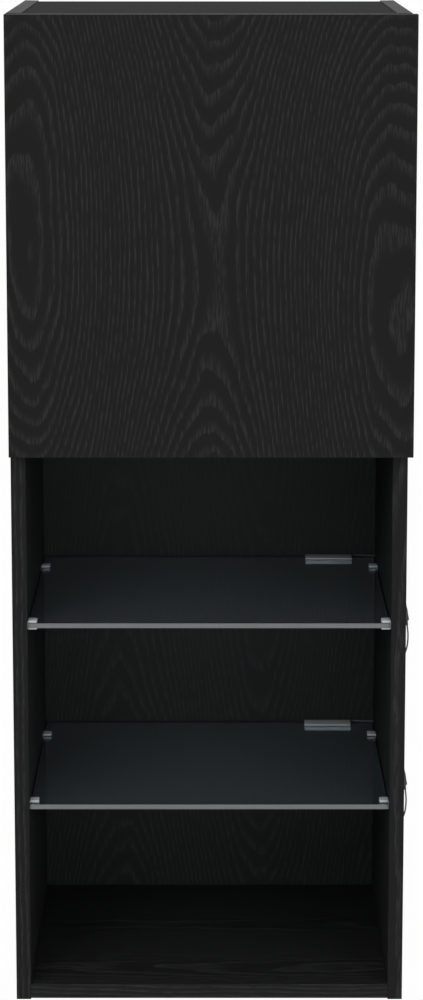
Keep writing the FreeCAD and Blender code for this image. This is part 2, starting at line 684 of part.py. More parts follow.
def lamp(name, top):
    """The clip on the glass edge: a folded sheet that holds the LED board and the lens below the glass."""
    low = f"({top} - glass)"
    x = "(lamp_right - clip_length)"
    front = f"({GLASS_BACK} - clip_depth)"
    web_y = f"({GLASS_BACK} + clip_gap)"
    full = "(clip_depth + clip_gap + clip_sheet)"
    tray_low = f"({low} - lamp_tray)"
    jaw_low = f"({low} - clip_sheet)"
    pieces = [
        box(f"{name}_clip_jaw", "clip_length", full, "clip_jaw", x, front, top),
        box(f"{name}_clip_web", "clip_length", "clip_sheet", "lamp_tray + glass + clip_jaw", x, web_y, tray_low),
        box(f"{name}_clip_seat", "clip_length", full, "clip_sheet", x, front, jaw_low),
        box(f"{name}_clip_lip", "clip_length", "clip_sheet", "lamp_tray", x, front, tray_low),
    ]
    node(join(f"{name}_lamp_clip", pieces), f"{name}_lamp_clip")
    inside = f"({front} + clip_sheet + lamp_fit)"
    room = "(clip_depth + clip_gap - clip_sheet - 2 * lamp_fit)"
    board_low = f"({jaw_low} - led_board)"
    plate = box(f"{name}_board_plate", "clip_length - 2 * lamp_fit", room, "led_board", f"{x} + lamp_fit",
                inside, board_low)
    chips = []
    for i, share in enumerate((-1, 0, 1)):
        chip_x = f"{x} + clip_length / 2 + {share} * chip_step - chip_length / 2"
        chips.append(box(f"{name}_chip_{i}", "chip_length", "chip_width", "chip_height", chip_x,
                         f"{inside} + {room} / 2 - chip_width / 2", f"{board_low} - chip_height"))
    node(join(f"{name}_lamp_board", [plate, *chips]), f"{name}_lamp_board")
    node(box(f"{name}_lamp_lens", "clip_length - 2 * lamp_fit", room, "lens_thickness", f"{x} + lamp_fit",
             inside, tray_low), f"{name}_lamp_lens")
    node(rod(f"{name}_lead_grommet", "grommet_radius", "grommet_length", "lamp_right", "-lead_setback",
             f"{top} + lead_lift + grommet_rise", "x"), f"{name}_lead_grommet")


def lead_tube(name, points, diameter):
    """A lead as straight runs joined by tangent arcs; prints its radii and compares its volume."""
    radii, edges, last = [], [], points[0]
    for before, corner, after in zip(points, points[1:], points[2:]):
        incoming, outgoing = corner - before, after - corner
        half_turn = incoming.getAngle(outgoing) / 2
        tangent = BEND_SHARE * min(incoming.Length, outgoing.Length)
        radii.append(tangent / math.tan(half_turn))
        into = corner - incoming.normalize() * tangent
        out = corner + outgoing.normalize() * tangent
        bisector = (into + out) * 0.5 - corner
        middle = corner + bisector.normalize() * (radii[-1] / math.cos(half_turn) - radii[-1])
        edges += [Part.LineSegment(last, into).toShape(), Part.Arc(into, middle, out).toShape()]
        last = out
    edges.append(Part.LineSegment(last, points[-1]).toShape())
    path = Part.Wire(edges)
    start = points[1] - points[0]
    profile = Part.Wire([Part.makeCircle(diameter / 2, points[0], start)])
    tube = path.makePipeShell([profile], True, False)
    expected = math.pi * diameter**2 / 4 * path.Length
    print(f"{name}: length {path.Length:.1f}, radii {', '.join(f'{r:.1f}' for r in radii)}, "
          f"volume {tube.Volume:.1f} for {expected:.1f}")
    if abs(tube.Volume - expected) > VOLUME_TOLERANCE * expected:
        raise ValueError(f"{name} has the wrong volume")
    coded(name, tube)


def lead_points(level):
    """The lamp lead's and the supply lead's routes for a shelf whose top is at this level."""
    y = -size("lead_setback")
    start = size("lamp_right") + size("grommet_length")
    lamp_route = [
        Vector(start, y, level + size("lead_lift") + size("grommet_rise")),
        Vector(183, y - 0.2, level + 1.2),
        Vector(209.5, y, level + 1),
        Vector(213.2, y - 0.6, level - 26),
        CONNECTOR_TOP + Vector(0, 0, level),
    ]
    socket_end = CONNECTOR_TOP + Vector(0, 0, level) + connector_axis() * (2 * size("connector_length"))
    supply_route = [
        socket_end,
        socket_end + Vector(1.9, 0, -10.4),
        Vector(222.9, -8.2, level - 97),
        Vector(221, -8, level - 109),
        Vector(214.6, -7.8, level - 121),
        Vector(207.2, -7.6, level - 129),
        Vector(204.3, -7.7, level - 137.4),
    ]
    return lamp_route, supply_route


def connector_axis():
    """The way down along the connector, which leans outwards."""
    tilt = math.radians(size("connector_tilt"))
    return Vector(math.sin(tilt), 0, -math.cos(tilt))


def connector(name, top_centre, length):
    """A small rounded connector half that hangs from its top centre along the tilted axis."""
    block = document.addObject("Part::Box", name + "_block")
    bind(block, {"Length": "connector_width", "Width": "connector_thickness", "Height": length})
    turn = FreeCAD.Rotation(Vector(0, 1, 0), -size("connector_tilt"))
    corner = Vector(-size("connector_width") / 2, -size("connector_thickness") / 2, -size(length))
    block.Placement = FreeCAD.Placement(top_centre + turn.multVec(corner) - Vector(0, 0, mount_height()), turn)
    document.recompute()
    rounded = document.addObject("Part::Fillet", name)
    rounded.Base = block
    radius = size("connector_round")
    rounded.Edges = [(i + 1, radius, radius) for i in range(len(block.Shape.Edges))]
    node(rounded, name)


def cords(name, level):
    """Lamp lead, in-line connector, supply lead, put-away coil and supply plug of one lamp."""
    lamp_route, supply_route = lead_points(level)
    diameter = size("lead_diameter")
    lead_tube(f"{name}_lamp_lead", lamp_route, diameter)
    lead_tube(f"{name}_supply_lead", supply_route, diameter)
    connector(f"{name}_connector_socket", lamp_route[-1], "connector_length")
    connector(f"{name}_connector_plug", lamp_route[-1] + connector_axis() * size("connector_length"),
              "connector_length")
    half, radius = size("coil_section") / 2, size("coil_mean_radius")
    centre = COIL_CENTRE + Vector(0, 0, level)
    rings = [Part.makeCylinder(radius + side * half, 2 * half, centre - Vector(half, 0, 0), Vector(1, 0, 0))
             for side in (1, -1)]
    coded(f"{name}_lead_coil", rings[0].cut(rings[1]))
    corner = centre + Vector(half + size("plug_gap"), -radius - size("connector_width") / 2,
                             -size("plug_length"))
    plug = Part.makeBox(size("connector_thickness"), size("connector_width"), size("plug_length"), corner)
    coded(f"{name}_supply_plug", plug.makeFillet(size("connector_round"), plug.Edges))


def brackets():
    """Two angle brackets under the top panel: the wall screws go through them and the back panel."""
    pieces, screws = [], []
    under = TOP_PANEL_HEIGHT
    for i, sign in enumerate(("-", "")):
        x = f"({sign}bracket_spacing / 2)"
        low_x = f"({x} - bracket_width / 2)"
        leg = box(f"bracket_leg_{i}", "bracket_width", "bracket_sheet", "bracket_leg", low_x,
                  "-back_thickness - bracket_sheet", f"{under} - bracket_leg")
        shelf_leg = box(f"bracket_shelf_{i}", "bracket_width", "bracket_leg", "bracket_sheet", low_x,
                        "-back_thickness - bracket_leg", f"{under} - bracket_sheet")
        wall_hole = rod(f"bracket_hole_{i}", "bracket_hole_radius", "4 * bracket_sheet", x,
                        "-back_thickness - 2 * bracket_sheet", MOUNT_HEIGHT, "y")
        screw_y = "(-back_thickness - bracket_leg / 2)"
        screw_hole = rod(f"bracket_screw_hole_{i}", "bracket_screw_radius + joint_fit", "3 * bracket_sheet",
                         x, screw_y, f"{under} - 2 * bracket_sheet")
        pieces.append(cut(f"bracket_{i}", join(f"bracket_solid_{i}", [leg, shelf_leg]),
                          [wall_hole, screw_hole]))
        shank = rod(f"bracket_shank_{i}", "bracket_screw_radius", "bracket_screw + bracket_sheet", x, screw_y,
                    f"{under} - bracket_sheet")
        head = rod(f"bracket_head_{i}", "screw_head_radius", "screw_head", x, screw_y,
                   f"{under} - bracket_sheet - screw_head")
        screws.append(join(f"bracket_screw_{i}", [shank, head]))
    group("wall_brackets", pieces)
    group("bracket_screws", screws)


def check_document():
    """Stop on a failed object, a bad shape or a pocket that removes nothing."""
    for item in document.Objects:
        if {"Invalid", "Error"} & set(item.State):
            raise ValueError(f"{item.Name} failed: {item.State}")
    for before, item in pocket_checks:
        if before.Shape.Volume - item.Shape.Volume < LEAST_CUT:
            raise ValueError(f"{item.Name} removes nothing")
    for item in nodes:
        if item.Shape.isNull() or not item.Shape.isValid() or item.Shape.Volume <= 0:
            raise ValueError(f"{item.Label} has no valid shape")


def write_parts():
    """Write one STEP file for each node."""
    os.makedirs("parts", exist_ok=True)
    for item in nodes:
        item.Shape.exportStep(f"parts/{item.Label}.step")
    print(len(nodes), "nodes written")


fill_sheet()
sides()
rails()
back()
joint_hardware()
door()
hinges()
hinge_links()
for shelf_name, shelf_top in SHELVES.items():
    shelf(shelf_name, shelf_top)
    lamp(shelf_name, shelf_top)
    cords(shelf_name, size(shelf_top))
brackets()
document.recompute()
check_document()
write_parts()
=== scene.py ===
"""Looks of a hanging wall cabinet: black oak boards, clear glass shelves, clip lamps and their leads.

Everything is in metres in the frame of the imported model: X runs to the right, the front faces -Y, the wall
is the plane Y = 0, +Z is up, and the origin is midway between the two wall screw holes.
"""

import logging
import math
from collections.abc import Callable, Iterable, Sequence
from dataclasses import dataclass
from enum import Enum

import bmesh
import bpy
from mathutils import Matrix, Vector


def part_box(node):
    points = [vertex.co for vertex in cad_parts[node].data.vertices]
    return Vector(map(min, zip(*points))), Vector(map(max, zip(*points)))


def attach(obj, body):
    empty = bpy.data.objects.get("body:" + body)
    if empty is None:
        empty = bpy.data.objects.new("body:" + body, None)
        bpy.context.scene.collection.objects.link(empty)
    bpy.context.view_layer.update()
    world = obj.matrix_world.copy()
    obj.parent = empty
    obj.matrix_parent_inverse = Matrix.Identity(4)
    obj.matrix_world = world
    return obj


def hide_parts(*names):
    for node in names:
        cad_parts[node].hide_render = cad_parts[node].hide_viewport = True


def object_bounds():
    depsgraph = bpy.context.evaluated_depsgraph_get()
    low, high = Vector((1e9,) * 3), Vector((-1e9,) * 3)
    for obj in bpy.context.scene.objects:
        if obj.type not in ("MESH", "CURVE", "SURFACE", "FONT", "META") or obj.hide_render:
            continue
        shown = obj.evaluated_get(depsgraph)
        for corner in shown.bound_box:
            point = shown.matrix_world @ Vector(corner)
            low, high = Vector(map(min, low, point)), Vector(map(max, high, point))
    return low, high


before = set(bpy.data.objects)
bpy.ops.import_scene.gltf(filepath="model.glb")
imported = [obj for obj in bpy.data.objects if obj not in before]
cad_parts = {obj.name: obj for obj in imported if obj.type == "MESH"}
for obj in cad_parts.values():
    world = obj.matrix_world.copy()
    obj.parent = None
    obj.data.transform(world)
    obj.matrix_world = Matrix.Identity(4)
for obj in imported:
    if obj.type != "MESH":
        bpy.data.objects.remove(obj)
CAD_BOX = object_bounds()

LOG = logging.getLogger("wall_cabinet")
WHITE = (1.0, 1.0, 1.0, 1.0)
CARCASS = "carcass"
DOOR = "door"
Point = tuple[float, float, float]
Colour = tuple[float, float, float]
Value = float | Sequence[float] | bpy.types.NodeSocket


# ---------------------------------------------------------------- camera


@dataclass(frozen=True)
class CameraRig:
    """A level camera with a long lens, tipped a little down, with its lens shifted downwards."""

    place: Point = (0.00232, -2.93716, 0.17159)
    tip_down_deg: float = 8.829
    lens_mm: float = 96.98
    sensor_mm: float = 36.0
    shift_up: float = -0.2030

    def build(self) -> bpy.types.Object:
        """Make the camera and give it to the scene.

        Returns:
            The camera's object.
        """
        data = bpy.data.cameras.new("studio_camera")
        data.lens = self.lens_mm
        data.sensor_width = self.sensor_mm
        data.sensor_fit = "AUTO"
        data.shift_y = self.shift_up
        camera = linked("studio_camera", data)
        camera.location = self.place
        camera.rotation_euler = (math.radians(90.0 - self.tip_down_deg), 0.0, 0.0)
        bpy.context.scene.camera = camera
        return camera


# ---------------------------------------------------------------- shader trees


class Tree:
    """Adds and links the nodes of one shader tree."""

    def __init__(self, tree: bpy.types.NodeTree) -> None:
        """Start on a tree, which keeps its own nodes."""
        self.tree = tree

    def feed(self, socket: bpy.types.NodeSocket, value: Value) -> None:
        """Link a socket's value, or set it where it is a constant.

        Args:
            socket: The input to fill.
            value: Another node's output, or a plain number, vector or colour.
        """
        if isinstance(value, bpy.types.NodeSocket):
            self.tree.links.new(value, socket)
        else:
            socket.default_value = value

    def node(self, kind: str, inputs: dict[str, Value] | None = None, **options: object) -> bpy.types.Node:
        """Add a node.

        Args:
            kind: Its type.
            inputs: Values for its named inputs.
            options: Values for its own settings.

        Returns:
            The node.
        """
        made = self.tree.nodes.new(kind)
        for name, value in options.items():
            setattr(made, name, value)
        for name, value in (inputs or {}).items():
            self.feed(made.inputs[name], value)
        return made

    def sum(self, operation: str, *values: Value) -> bpy.types.NodeSocket:
        """The result of one Math node on up to three values."""
        made = self.tree.nodes.new("ShaderNodeMath")
        made.operation = operation
        for socket, value in zip(made.inputs, values):
            self.feed(socket, value)
        return made.outputs[0]

    def times(self, first: Value, second: Value) -> bpy.types.NodeSocket:
        """One value times another."""
        return self.sum("MULTIPLY", first, second)

    def plus(self, first: Value, second: Value) -> bpy.types.NodeSocket:
        """One value and another together."""
        return self.sum("ADD", first, second)

    def minus(self, first: Value, second: Value) -> bpy.types.NodeSocket:
        """One value less another."""
        return self.sum("SUBTRACT", first, second)

    def here(self) -> bpy.types.NodeSocket:
        """The place on the piece, in metres."""
        return self.node("ShaderNodeTexCoord").outputs["Object"]

    def dot(self, first: Value, second: Value) -> bpy.types.NodeSocket:
        """The dot product of two vectors."""
        made = self.tree.nodes.new("ShaderNodeVectorMath")
        made.operation = "DOT_PRODUCT"
        self.feed(made.inputs[0], first)
        self.feed(made.inputs[1], second)
        return made.outputs["Value"]

    def vector(self, across: Value, along: Value, through: Value) -> bpy.types.NodeSocket:
        """A vector from its three parts."""
        return self.node("ShaderNodeCombineXYZ", {"X": across, "Y": along, "Z": through}).outputs[0]

    def noise(self, at: Value, scale: float, detail: float = 2.0,
              distortion: float = 0.0) -> bpy.types.NodeSocket:
        """A noise texture's grey value at a vector."""
        inputs = {"Vector": at, "Scale": scale, "Detail": detail, "Distortion": distortion}
        return self.node("ShaderNodeTexNoise", inputs).outputs[0]

    def board(self, at: Value, across: Value, along: Value, through: Value) -> bpy.types.NodeSocket:
        """A place as its parts across, along and through a board."""
        return self.vector(self.dot(at, across), self.dot(at, along), self.dot(at, through))

    def ramp(self, value: Value, start: Value, end: Value) -> bpy.types.NodeSocket:
        """A smooth rise from 0 at one value to 1 at another."""
        made = self.node("ShaderNodeMapRange", interpolation_type="SMOOTHSTEP")
        for name, item in (("Value", value), ("From Min", start), ("From Max", end)):
            self.feed(made.inputs[name], item)
        return made.outputs[0]

    def blend(self, share: Value, first: Value, second: Value) -> bpy.types.NodeSocket:
        """One colour, or a share of a second colour over it."""
        made = self.node("ShaderNodeMix", data_type="RGBA")
        for index, value in ((0, share), (6, first), (7, second)):
            self.feed(made.inputs[index], value)
        return made.outputs[2]

    def mix(self, share: Value, first: bpy.types.Node, second: bpy.types.Node) -> bpy.types.Node:
        """One shader, or a share of a second shader over it."""
        made = self.node("ShaderNodeMixShader")
        for socket, value in zip(made.inputs, (share, first.outputs[0], second.outputs[0])):
            self.feed(socket, value)
        return made


def opaque(colour: Colour) -> tuple[float, float, float, float]:
    """A colour with full cover."""
    return (*colour, 1.0)


@dataclass(frozen=True)
class Socket:
    """A named input or output of a node group."""

    name: str
    kind: str = "NodeSocketFloat"
    start: float | None = None


class Effect:
    """A shared node group with named inputs and outputs, built once."""

    made: dict[str, bpy.types.NodeTree] = {}

    @classmethod
    def group(cls, name: str, inputs: Iterable[Socket], outputs: Iterable[Socket],
              wire: Callable[[Tree, bpy.types.Node, bpy.types.Node], None]) -> bpy.types.NodeTree:
        """Build a node group, or fetch it if it is there.

        Args:
            name: The group's name.
            inputs: Its inputs.
            outputs: Its outputs.
            wire: The function that fills it between its own input and output nodes.

        Returns:
            The group.
        """
        if name not in cls.made:
            tree = bpy.data.node_groups.new(name, "ShaderNodeTree")
            for side, sockets in (("INPUT", inputs), ("OUTPUT", outputs)):
                for item in sockets:
                    made = tree.interface.new_socket(name=item.name, in_out=side, socket_type=item.kind)
                    if item.start is not None:
                        made.default_value = item.start
            wire(Tree(tree), tree.nodes.new("NodeGroupInput"), tree.nodes.new("NodeGroupOutput"))
            cls.made[name] = tree
        return cls.made[name]

    @staticmethod
    def place(tree: Tree, group: bpy.types.NodeTree, values: dict[str, Value]) -> bpy.types.Node:
        """Put a group into a material with that material's own values."""
        made = tree.tree.nodes.new("ShaderNodeGroup")
        made.node_tree = group
        for name, value in values.items():
            tree.feed(made.inputs[name], value)
        return made


# Waves per metre across and along a board.
RING_DRIFT = (9.0, 2.1)
RING_RIPPLE = (70.0, 16.0)
PORE_DASHES = (850.0, 62.0)
PORE_SPECKS = (1500.0, 120.0)
# Shares of the figure's smaller parts.
RIPPLE_IN_RINGS = 0.9
FAINT_PORES = 0.14
SPECK_RELIEF = 0.15
# Waves per metre along a brush mark.
BRUSH_WAVES_ALONG = 35.0


def wire_oak(tree: Tree, given: bpy.types.Node, result: bpy.types.Node) -> None:
    """Fill the oak group: growth rings with arches between plain stripes, and pores along them.

    Args:
        tree: The group's tree.
        given: Its inputs. Board is across, along and through the board, in metres.
        result: Its outputs: pores, tone and height.
    """
    value = given.outputs
    parts = tree.node("ShaderNodeSeparateXYZ", {"Vector": value["Board"]}).outputs
    across, along, through = parts[0], parts[1], parts[2]
    seed = value["Seed"]

    def cloud(waves: tuple[float, float], depth: Value, detail: float) -> bpy.types.NodeSocket:
        """Noise with its own number of waves across and along the board."""
        at = tree.vector(tree.times(across, waves[0]), tree.times(along, waves[1]), depth)
        return tree.noise(at, 1.0, detail)

    slow = cloud(RING_DRIFT, seed, 2.0)
    quick = cloud(RING_RIPPLE, seed, 3.0)
    turn = tree.sum("DIVIDE", tree.times(across, math.pi), value["Stripe"])
    stripe = tree.times(tree.minus(1.0, tree.sum("COSINE", turn)), 0.5)
    arch = tree.times(tree.times(along, along), value["Arch"])
    lean = tree.times(tree.times(across, along), value["Lean"])
    rings = tree.times(stripe, value["Rings"])
    for item in (arch, lean, tree.times(along, value["Rise"])):
        rings = tree.minus(rings, item)
    rings = tree.plus(rings, tree.times(tree.minus(slow, 0.5), value["Wander"]))
    rings = tree.plus(rings, tree.times(tree.minus(quick, 0.5), RIPPLE_IN_RINGS))
    phase = tree.sum("FRACT", rings)
    early = tree.times(tree.ramp(phase, 0.0, 0.10), tree.ramp(phase, 0.62, 0.18))
    coarse = cloud(PORE_DASHES, tree.times(through, PORE_DASHES[0]), 1.0)
    fine = cloud(PORE_SPECKS, tree.times(through, PORE_SPECKS[0]), 1.0)
    dashes = tree.ramp(coarse, 0.42, 0.60)
    specks = tree.ramp(fine, 0.52, 0.75)
    pores = tree.times(early, tree.plus(FAINT_PORES, tree.times(dashes, 1.0 - FAINT_PORES)))
    pores = tree.sum("MINIMUM", tree.plus(pores, tree.times(specks, FAINT_PORES)), 1.0)
    tree.feed(result.inputs["Pores"], pores)
    tree.feed(result.inputs["Tone"], tree.plus(tree.times(slow, 0.5), tree.times(quick, 0.5)))
    tree.feed(result.inputs["Height"], tree.minus(tree.times(fine, SPECK_RELIEF), pores))


def oak_group() -> bpy.types.NodeTree:
    """The oak figure, shared by every board."""
    inputs = [Socket("Board", "NodeSocketVector"), Socket("Stripe", start=0.185), Socket("Rings", start=26.0),
              Socket("Arch", start=110.0), Socket("Lean", start=60.0), Socket("Rise", start=0.0),
              Socket("Wander", start=6.0), Socket("Seed", start=0.0)]
    return Effect.group("oak_figure", inputs, [Socket("Pores"), Socket("Tone"), Socket("Height")], wire_oak)


def wire_edges(tree: Tree, given: bpy.types.Node, result: bpy.types.Node) -> None:
    """Fill the edge group: it finds edges by rounding them, and breaks the painted edge highlight up a
    little.
    """
    sharp = tree.node("ShaderNodeNewGeometry").outputs["Normal"]
    soft = tree.node("ShaderNodeBevel", {"Radius": given.outputs["Width"]}, samples=6).outputs[0]
    mask = tree.ramp(tree.minus(1.0, tree.dot(sharp, soft)), 0.01, 0.22)
    highlit = tree.ramp(tree.noise(tree.here(), 90.0, 4.0), 0.30, 0.62)
    share = given.outputs["Unevenness"]
    uneven = tree.plus(tree.times(highlit, share), tree.minus(1.0, share))
    # The edge mask times the noise is where edges get a painted highlight.
    tree.feed(result.inputs["Edge"], tree.times(mask, uneven))


def edge_group() -> bpy.types.NodeTree:
    """A painted highlight along edges, shared by boards and metal parts."""
    inputs = [Socket("Width", start=0.0007), Socket("Unevenness", start=0.5)]
    return Effect.group("painted_edge_highlight", inputs, [Socket("Edge")], wire_edges)


def wire_streaks(tree: Tree, given: bpy.types.Node, result: bpy.types.Node) -> None:
    """Fill the streak group: long thin brush marks along the second axis of the board vector."""
    parts = tree.node("ShaderNodeSeparateXYZ", {"Vector": given.outputs["Board"]}).outputs
    count = given.outputs["Count"]
    stretched = tree.vector(tree.times(parts[0], count), tree.times(parts[1], BRUSH_WAVES_ALONG),
                            tree.times(parts[2], count))
    tree.feed(result.inputs["Marks"], tree.noise(stretched, 1.0, 4.0))
    tree.feed(result.inputs["Cloud"], tree.noise(given.outputs["Board"], 60.0, 3.0))


def streak_group() -> bpy.types.NodeTree:
    """Brush marks, shared by the metal finishes."""
    inputs = [Socket("Board", "NodeSocketVector"), Socket("Count", start=4000.0)]
    return Effect.group("brush_marks", inputs, [Socket("Marks"), Socket("Cloud")], wire_streaks)


def wire_skin(tree: Tree, given: bpy.types.Node, result: bpy.types.Node) -> None:
    """Fill the skin group: the fine spark texture of a mould or casting, and slow handling marks."""
    place = tree.here()
    grains = tree.node("ShaderNodeTexVoronoi", {"Vector": place, "Scale": given.outputs["Count"]}).outputs[0]
    mottle = tree.noise(place, 140.0, 5.0)
    tree.feed(result.inputs["Height"], tree.plus(tree.times(grains, 0.6), tree.times(mottle, 0.4)))
    tree.feed(result.inputs["Mottle"], mottle)


def skin_group() -> bpy.types.NodeTree:
    """Moulded or cast skin, shared by plastics, rubbers and castings."""
    return Effect.group("moulded_skin", [Socket("Count", start=2600.0)], [Socket("Height"), Socket("Mottle")],
                        wire_skin)


# ---------------------------------------------------------------- finishes


class Grain(Enum):
    """The way a board's grain runs: directions along, across and through it."""

    UPRIGHT_FRONT = ((0, 0, 1), (1, 0.45, 0), (-0.45, 1, 0))
    UPRIGHT_SIDE = ((0, 0, 1), (0.8, 1, 0), (1, -0.8, 0))
    LYING = ((1, 0, 0), (0, 1, 0.9), (0, -0.9, 1))


def new_material(name: str) -> tuple[bpy.types.Material, Tree, bpy.types.Node]:
    """A material with its tree and its Principled shader."""
    material = bpy.data.materials.new(name)
    material.use_nodes = True
    return material, Tree(material.node_tree), material.node_tree.nodes["Principled BSDF"]


def bump(tree: Tree, shader: bpy.types.Node, height: Value, strength: float, depth: float) -> None:
    """Give a shader its fine relief.

    Args:
        tree: The material's tree.
        shader: The shader whose Normal is fed.
        height: The relief, from 0 to 1.
        strength: How much of it shows.
        depth: Its depth in metres.
    """
    made = tree.node("ShaderNodeBump", {"Strength": strength, "Distance": depth, "Height": height})
    tree.feed(shader.inputs["Normal"], made.outputs[0])


@dataclass(frozen=True)
class OakFinish:
    """Black oak grain on a board, with paler pores and a painted highlight along its edges."""

    name: str
    grain: Grain
    middle: Point
    ground: Colour = (0.0080, 0.0081, 0.0083)
    pore: Colour = (0.0210, 0.0210, 0.0214)
    # The paler colour and its share just below are a painted highlight along the board's edges.
    edge_highlight_colour: Colour = (0.034, 0.034, 0.035)
    edge_highlight_share: float = 0.40
    stripe: float = 0.185
    rings: float = 26.0
    arch: float = 110.0
    lean: float = 55.0
    rise: float = 0.0
    wander: float = 6.0
    seed: float = 0.0
    roughness: float = 0.50
    gloss: float = 0.08
    relief: float = 0.25

    def build(self) -> bpy.types.Material:
        """Make the material.

        Returns:
            The material, whose figure is centred on the finish's middle.
        """
        material, tree, shader = new_material(self.name)
        place = tree.here()
        centring = [-part for part in self.middle]
        moved = tree.node("ShaderNodeMapping", {"Vector": place, "Location": centring}).outputs[0]
        along, across, through = self.grain.value
        board = tree.board(moved, across, along, through)
        oak = Effect.place(tree, oak_group(), {
            "Board": board, "Stripe": self.stripe, "Rings": self.rings, "Arch": self.arch, "Lean": self.lean,
            "Rise": self.rise, "Wander": self.wander, "Seed": self.seed}).outputs
        edge = Effect.place(tree, edge_group(), {"Width": 0.0006, "Unevenness": 0.35}).outputs["Edge"]
        shade = tree.plus(0.86, tree.times(oak["Tone"], 0.28))
        colour = tree.node("ShaderNodeVectorMath", operation="SCALE")
        tree.feed(colour.inputs[0], tree.blend(oak["Pores"], opaque(self.ground), opaque(self.pore)))
        tree.feed(colour.inputs["Scale"], shade)
        # Edges are blended towards the paler colour: a painted highlight.
        highlit = tree.blend(tree.times(edge, self.edge_highlight_share), colour.outputs[0], opaque(self.edge_highlight_colour))
        tree.feed(shader.inputs["Base Color"], highlit)
        rough = tree.plus(self.roughness, tree.times(oak["Pores"], 0.14))
        tree.feed(shader.inputs["Roughness"], tree.minus(rough, tree.times(edge, 0.10)))
        shader.inputs["Specular IOR Level"].default_value = self.gloss
        bump(tree, shader, oak["Height"], self.relief, 0.00025)
        return material


@dataclass(frozen=True)
class MetalFinish:
    """Brushed or plated metal with marks along one axis and a painted highlight along its edges."""

    name: str
    colour: Colour
    roughness: float = 0.34
    along: Point = (1, 0, 0)
    across: Point = (0, 1, 1)
    count: float = 4000.0
    contrast: float = 0.18
    relief: float = 0.12
    metallic: float = 1.0

    def build(self) -> bpy.types.Material:
        """Make the material."""
        material, tree, shader = new_material(self.name)
        place = tree.here()
        through = Vector(self.along).cross(Vector(self.across))
        board = tree.board(place, self.across, self.along, through)
        marks = Effect.place(tree, streak_group(), {"Board": board, "Count": self.count}).outputs
        edge = Effect.place(tree, edge_group(), {"Width": 0.0004, "Unevenness": 0.6}).outputs["Edge"]
        dark = opaque(tuple(part * (1.0 - self.contrast) for part in self.colour))
        metal_edge_highlight = opaque(tuple(min(1.0, part * 1.35) for part in self.colour))
        body = tree.blend(marks["Marks"], dark, opaque(self.colour))
        # Edges are blended towards a paler colour: a painted highlight.
        tree.feed(shader.inputs["Base Color"], tree.blend(tree.times(edge, 0.6), body, metal_edge_highlight))
        rough = tree.plus(self.roughness - 0.08, tree.times(marks["Cloud"], 0.16))
        tree.feed(shader.inputs["Roughness"], rough)
        shader.inputs["Metallic"].default_value = self.metallic
        bump(tree, shader, marks["Marks"], self.relief, 0.00006)
        return material


@dataclass(frozen=True)
class MouldedFinish:
    """Moulded plastic, rubber, solder mask or casting with a fine skin."""

    name: str
    colour: Colour
    roughness: float = 0.5
    gloss: float = 0.4
    metallic: float = 0.0
    clearness: float = 0.0
    count: float = 2600.0
    relief: float = 0.12

    def build(self) -> bpy.types.Material:
        """Make the material."""
        material, tree, shader = new_material(self.name)
        skin = Effect.place(tree, skin_group(), {"Count": self.count}).outputs
        edge = Effect.place(tree, edge_group(), {"Width": 0.0003, "Unevenness": 0.5}).outputs["Edge"]
        dark = opaque(tuple(part * 0.86 for part in self.colour))
        pale = opaque(tuple(min(1.0, part * 1.3 + 0.01) for part in self.colour))
        body = tree.blend(skin["Mottle"], dark, opaque(self.colour))
        # Edges are blended towards a paler colour: a painted highlight.
        tree.feed(shader.inputs["Base Color"], tree.blend(tree.times(edge, 0.35), body, pale))
        rough = tree.plus(self.roughness - 0.06, tree.times(skin["Mottle"], 0.12))
        tree.feed(shader.inputs["Roughness"], rough)
        shader.inputs["Specular IOR Level"].default_value = self.gloss
        shader.inputs["Metallic"].default_value = self.metallic
        shader.inputs["Transmission Weight"].default_value = self.clearness
        bump(tree, shader, skin["Height"], self.relief, 0.00005)
        return material


@dataclass(frozen=True)
class GlassFinish:
    """Clear float glass with a trace of blue-grey and faint wiping marks."""

    name: str = "clear_glass"
    colour: Colour = (0.82, 0.94, 1.0)
    clearness: float = 0.98

    def build(self) -> bpy.types.Material:
        """Make the material."""
        material, tree, shader = new_material(self.name)
        place = tree.here()
        stretched = tree.node("ShaderNodeMapping", {"Vector": place, "Scale": (6.0, 22.0, 6.0)}).outputs[0]
        wiped = tree.noise(stretched, 1.0, 4.0, 1.2)
        tree.feed(shader.inputs["Roughness"], tree.times(tree.ramp(wiped, 0.45, 0.8), 0.035))
        tint = tree.blend(tree.noise(place, 14.0), opaque(self.colour),
                          opaque(tuple(part * 0.97 for part in self.colour)))
        tree.feed(shader.inputs["Base Color"], tint)
        shader.inputs["Transmission Weight"].default_value = self.clearness
        shader.inputs["IOR"].default_value = 1.52
        return material


@dataclass(frozen=True)
class GroundEdgeFinish:
    """A flat-ground edge of the glass, finely scored along its length."""

    name: str = "ground_glass_edge"
    colour: Colour = (0.162, 0.166, 0.168)

    def build(self) -> bpy.types.Material:
        """Make the material."""
        material, tree, shader = new_material(self.name)
        place = tree.here()
        lines = tree.node("ShaderNodeMapping", {"Vector": place, "Scale": (30.0, 30.0, 3500.0)}).outputs[0]
        scored = tree.noise(lines, 1.0, 3.0)
        dark = opaque(tuple(part * 0.7 for part in self.colour))
        pale = opaque(tuple(part * 1.25 for part in self.colour))
        tree.feed(shader.inputs["Base Color"], tree.blend(scored, dark, pale))
        tree.feed(shader.inputs["Roughness"], tree.plus(0.32, tree.times(scored, 0.2)))
        shader.inputs["Specular IOR Level"].default_value = 0.0
        bump(tree, shader, scored, 0.15, 0.00005)
        return material


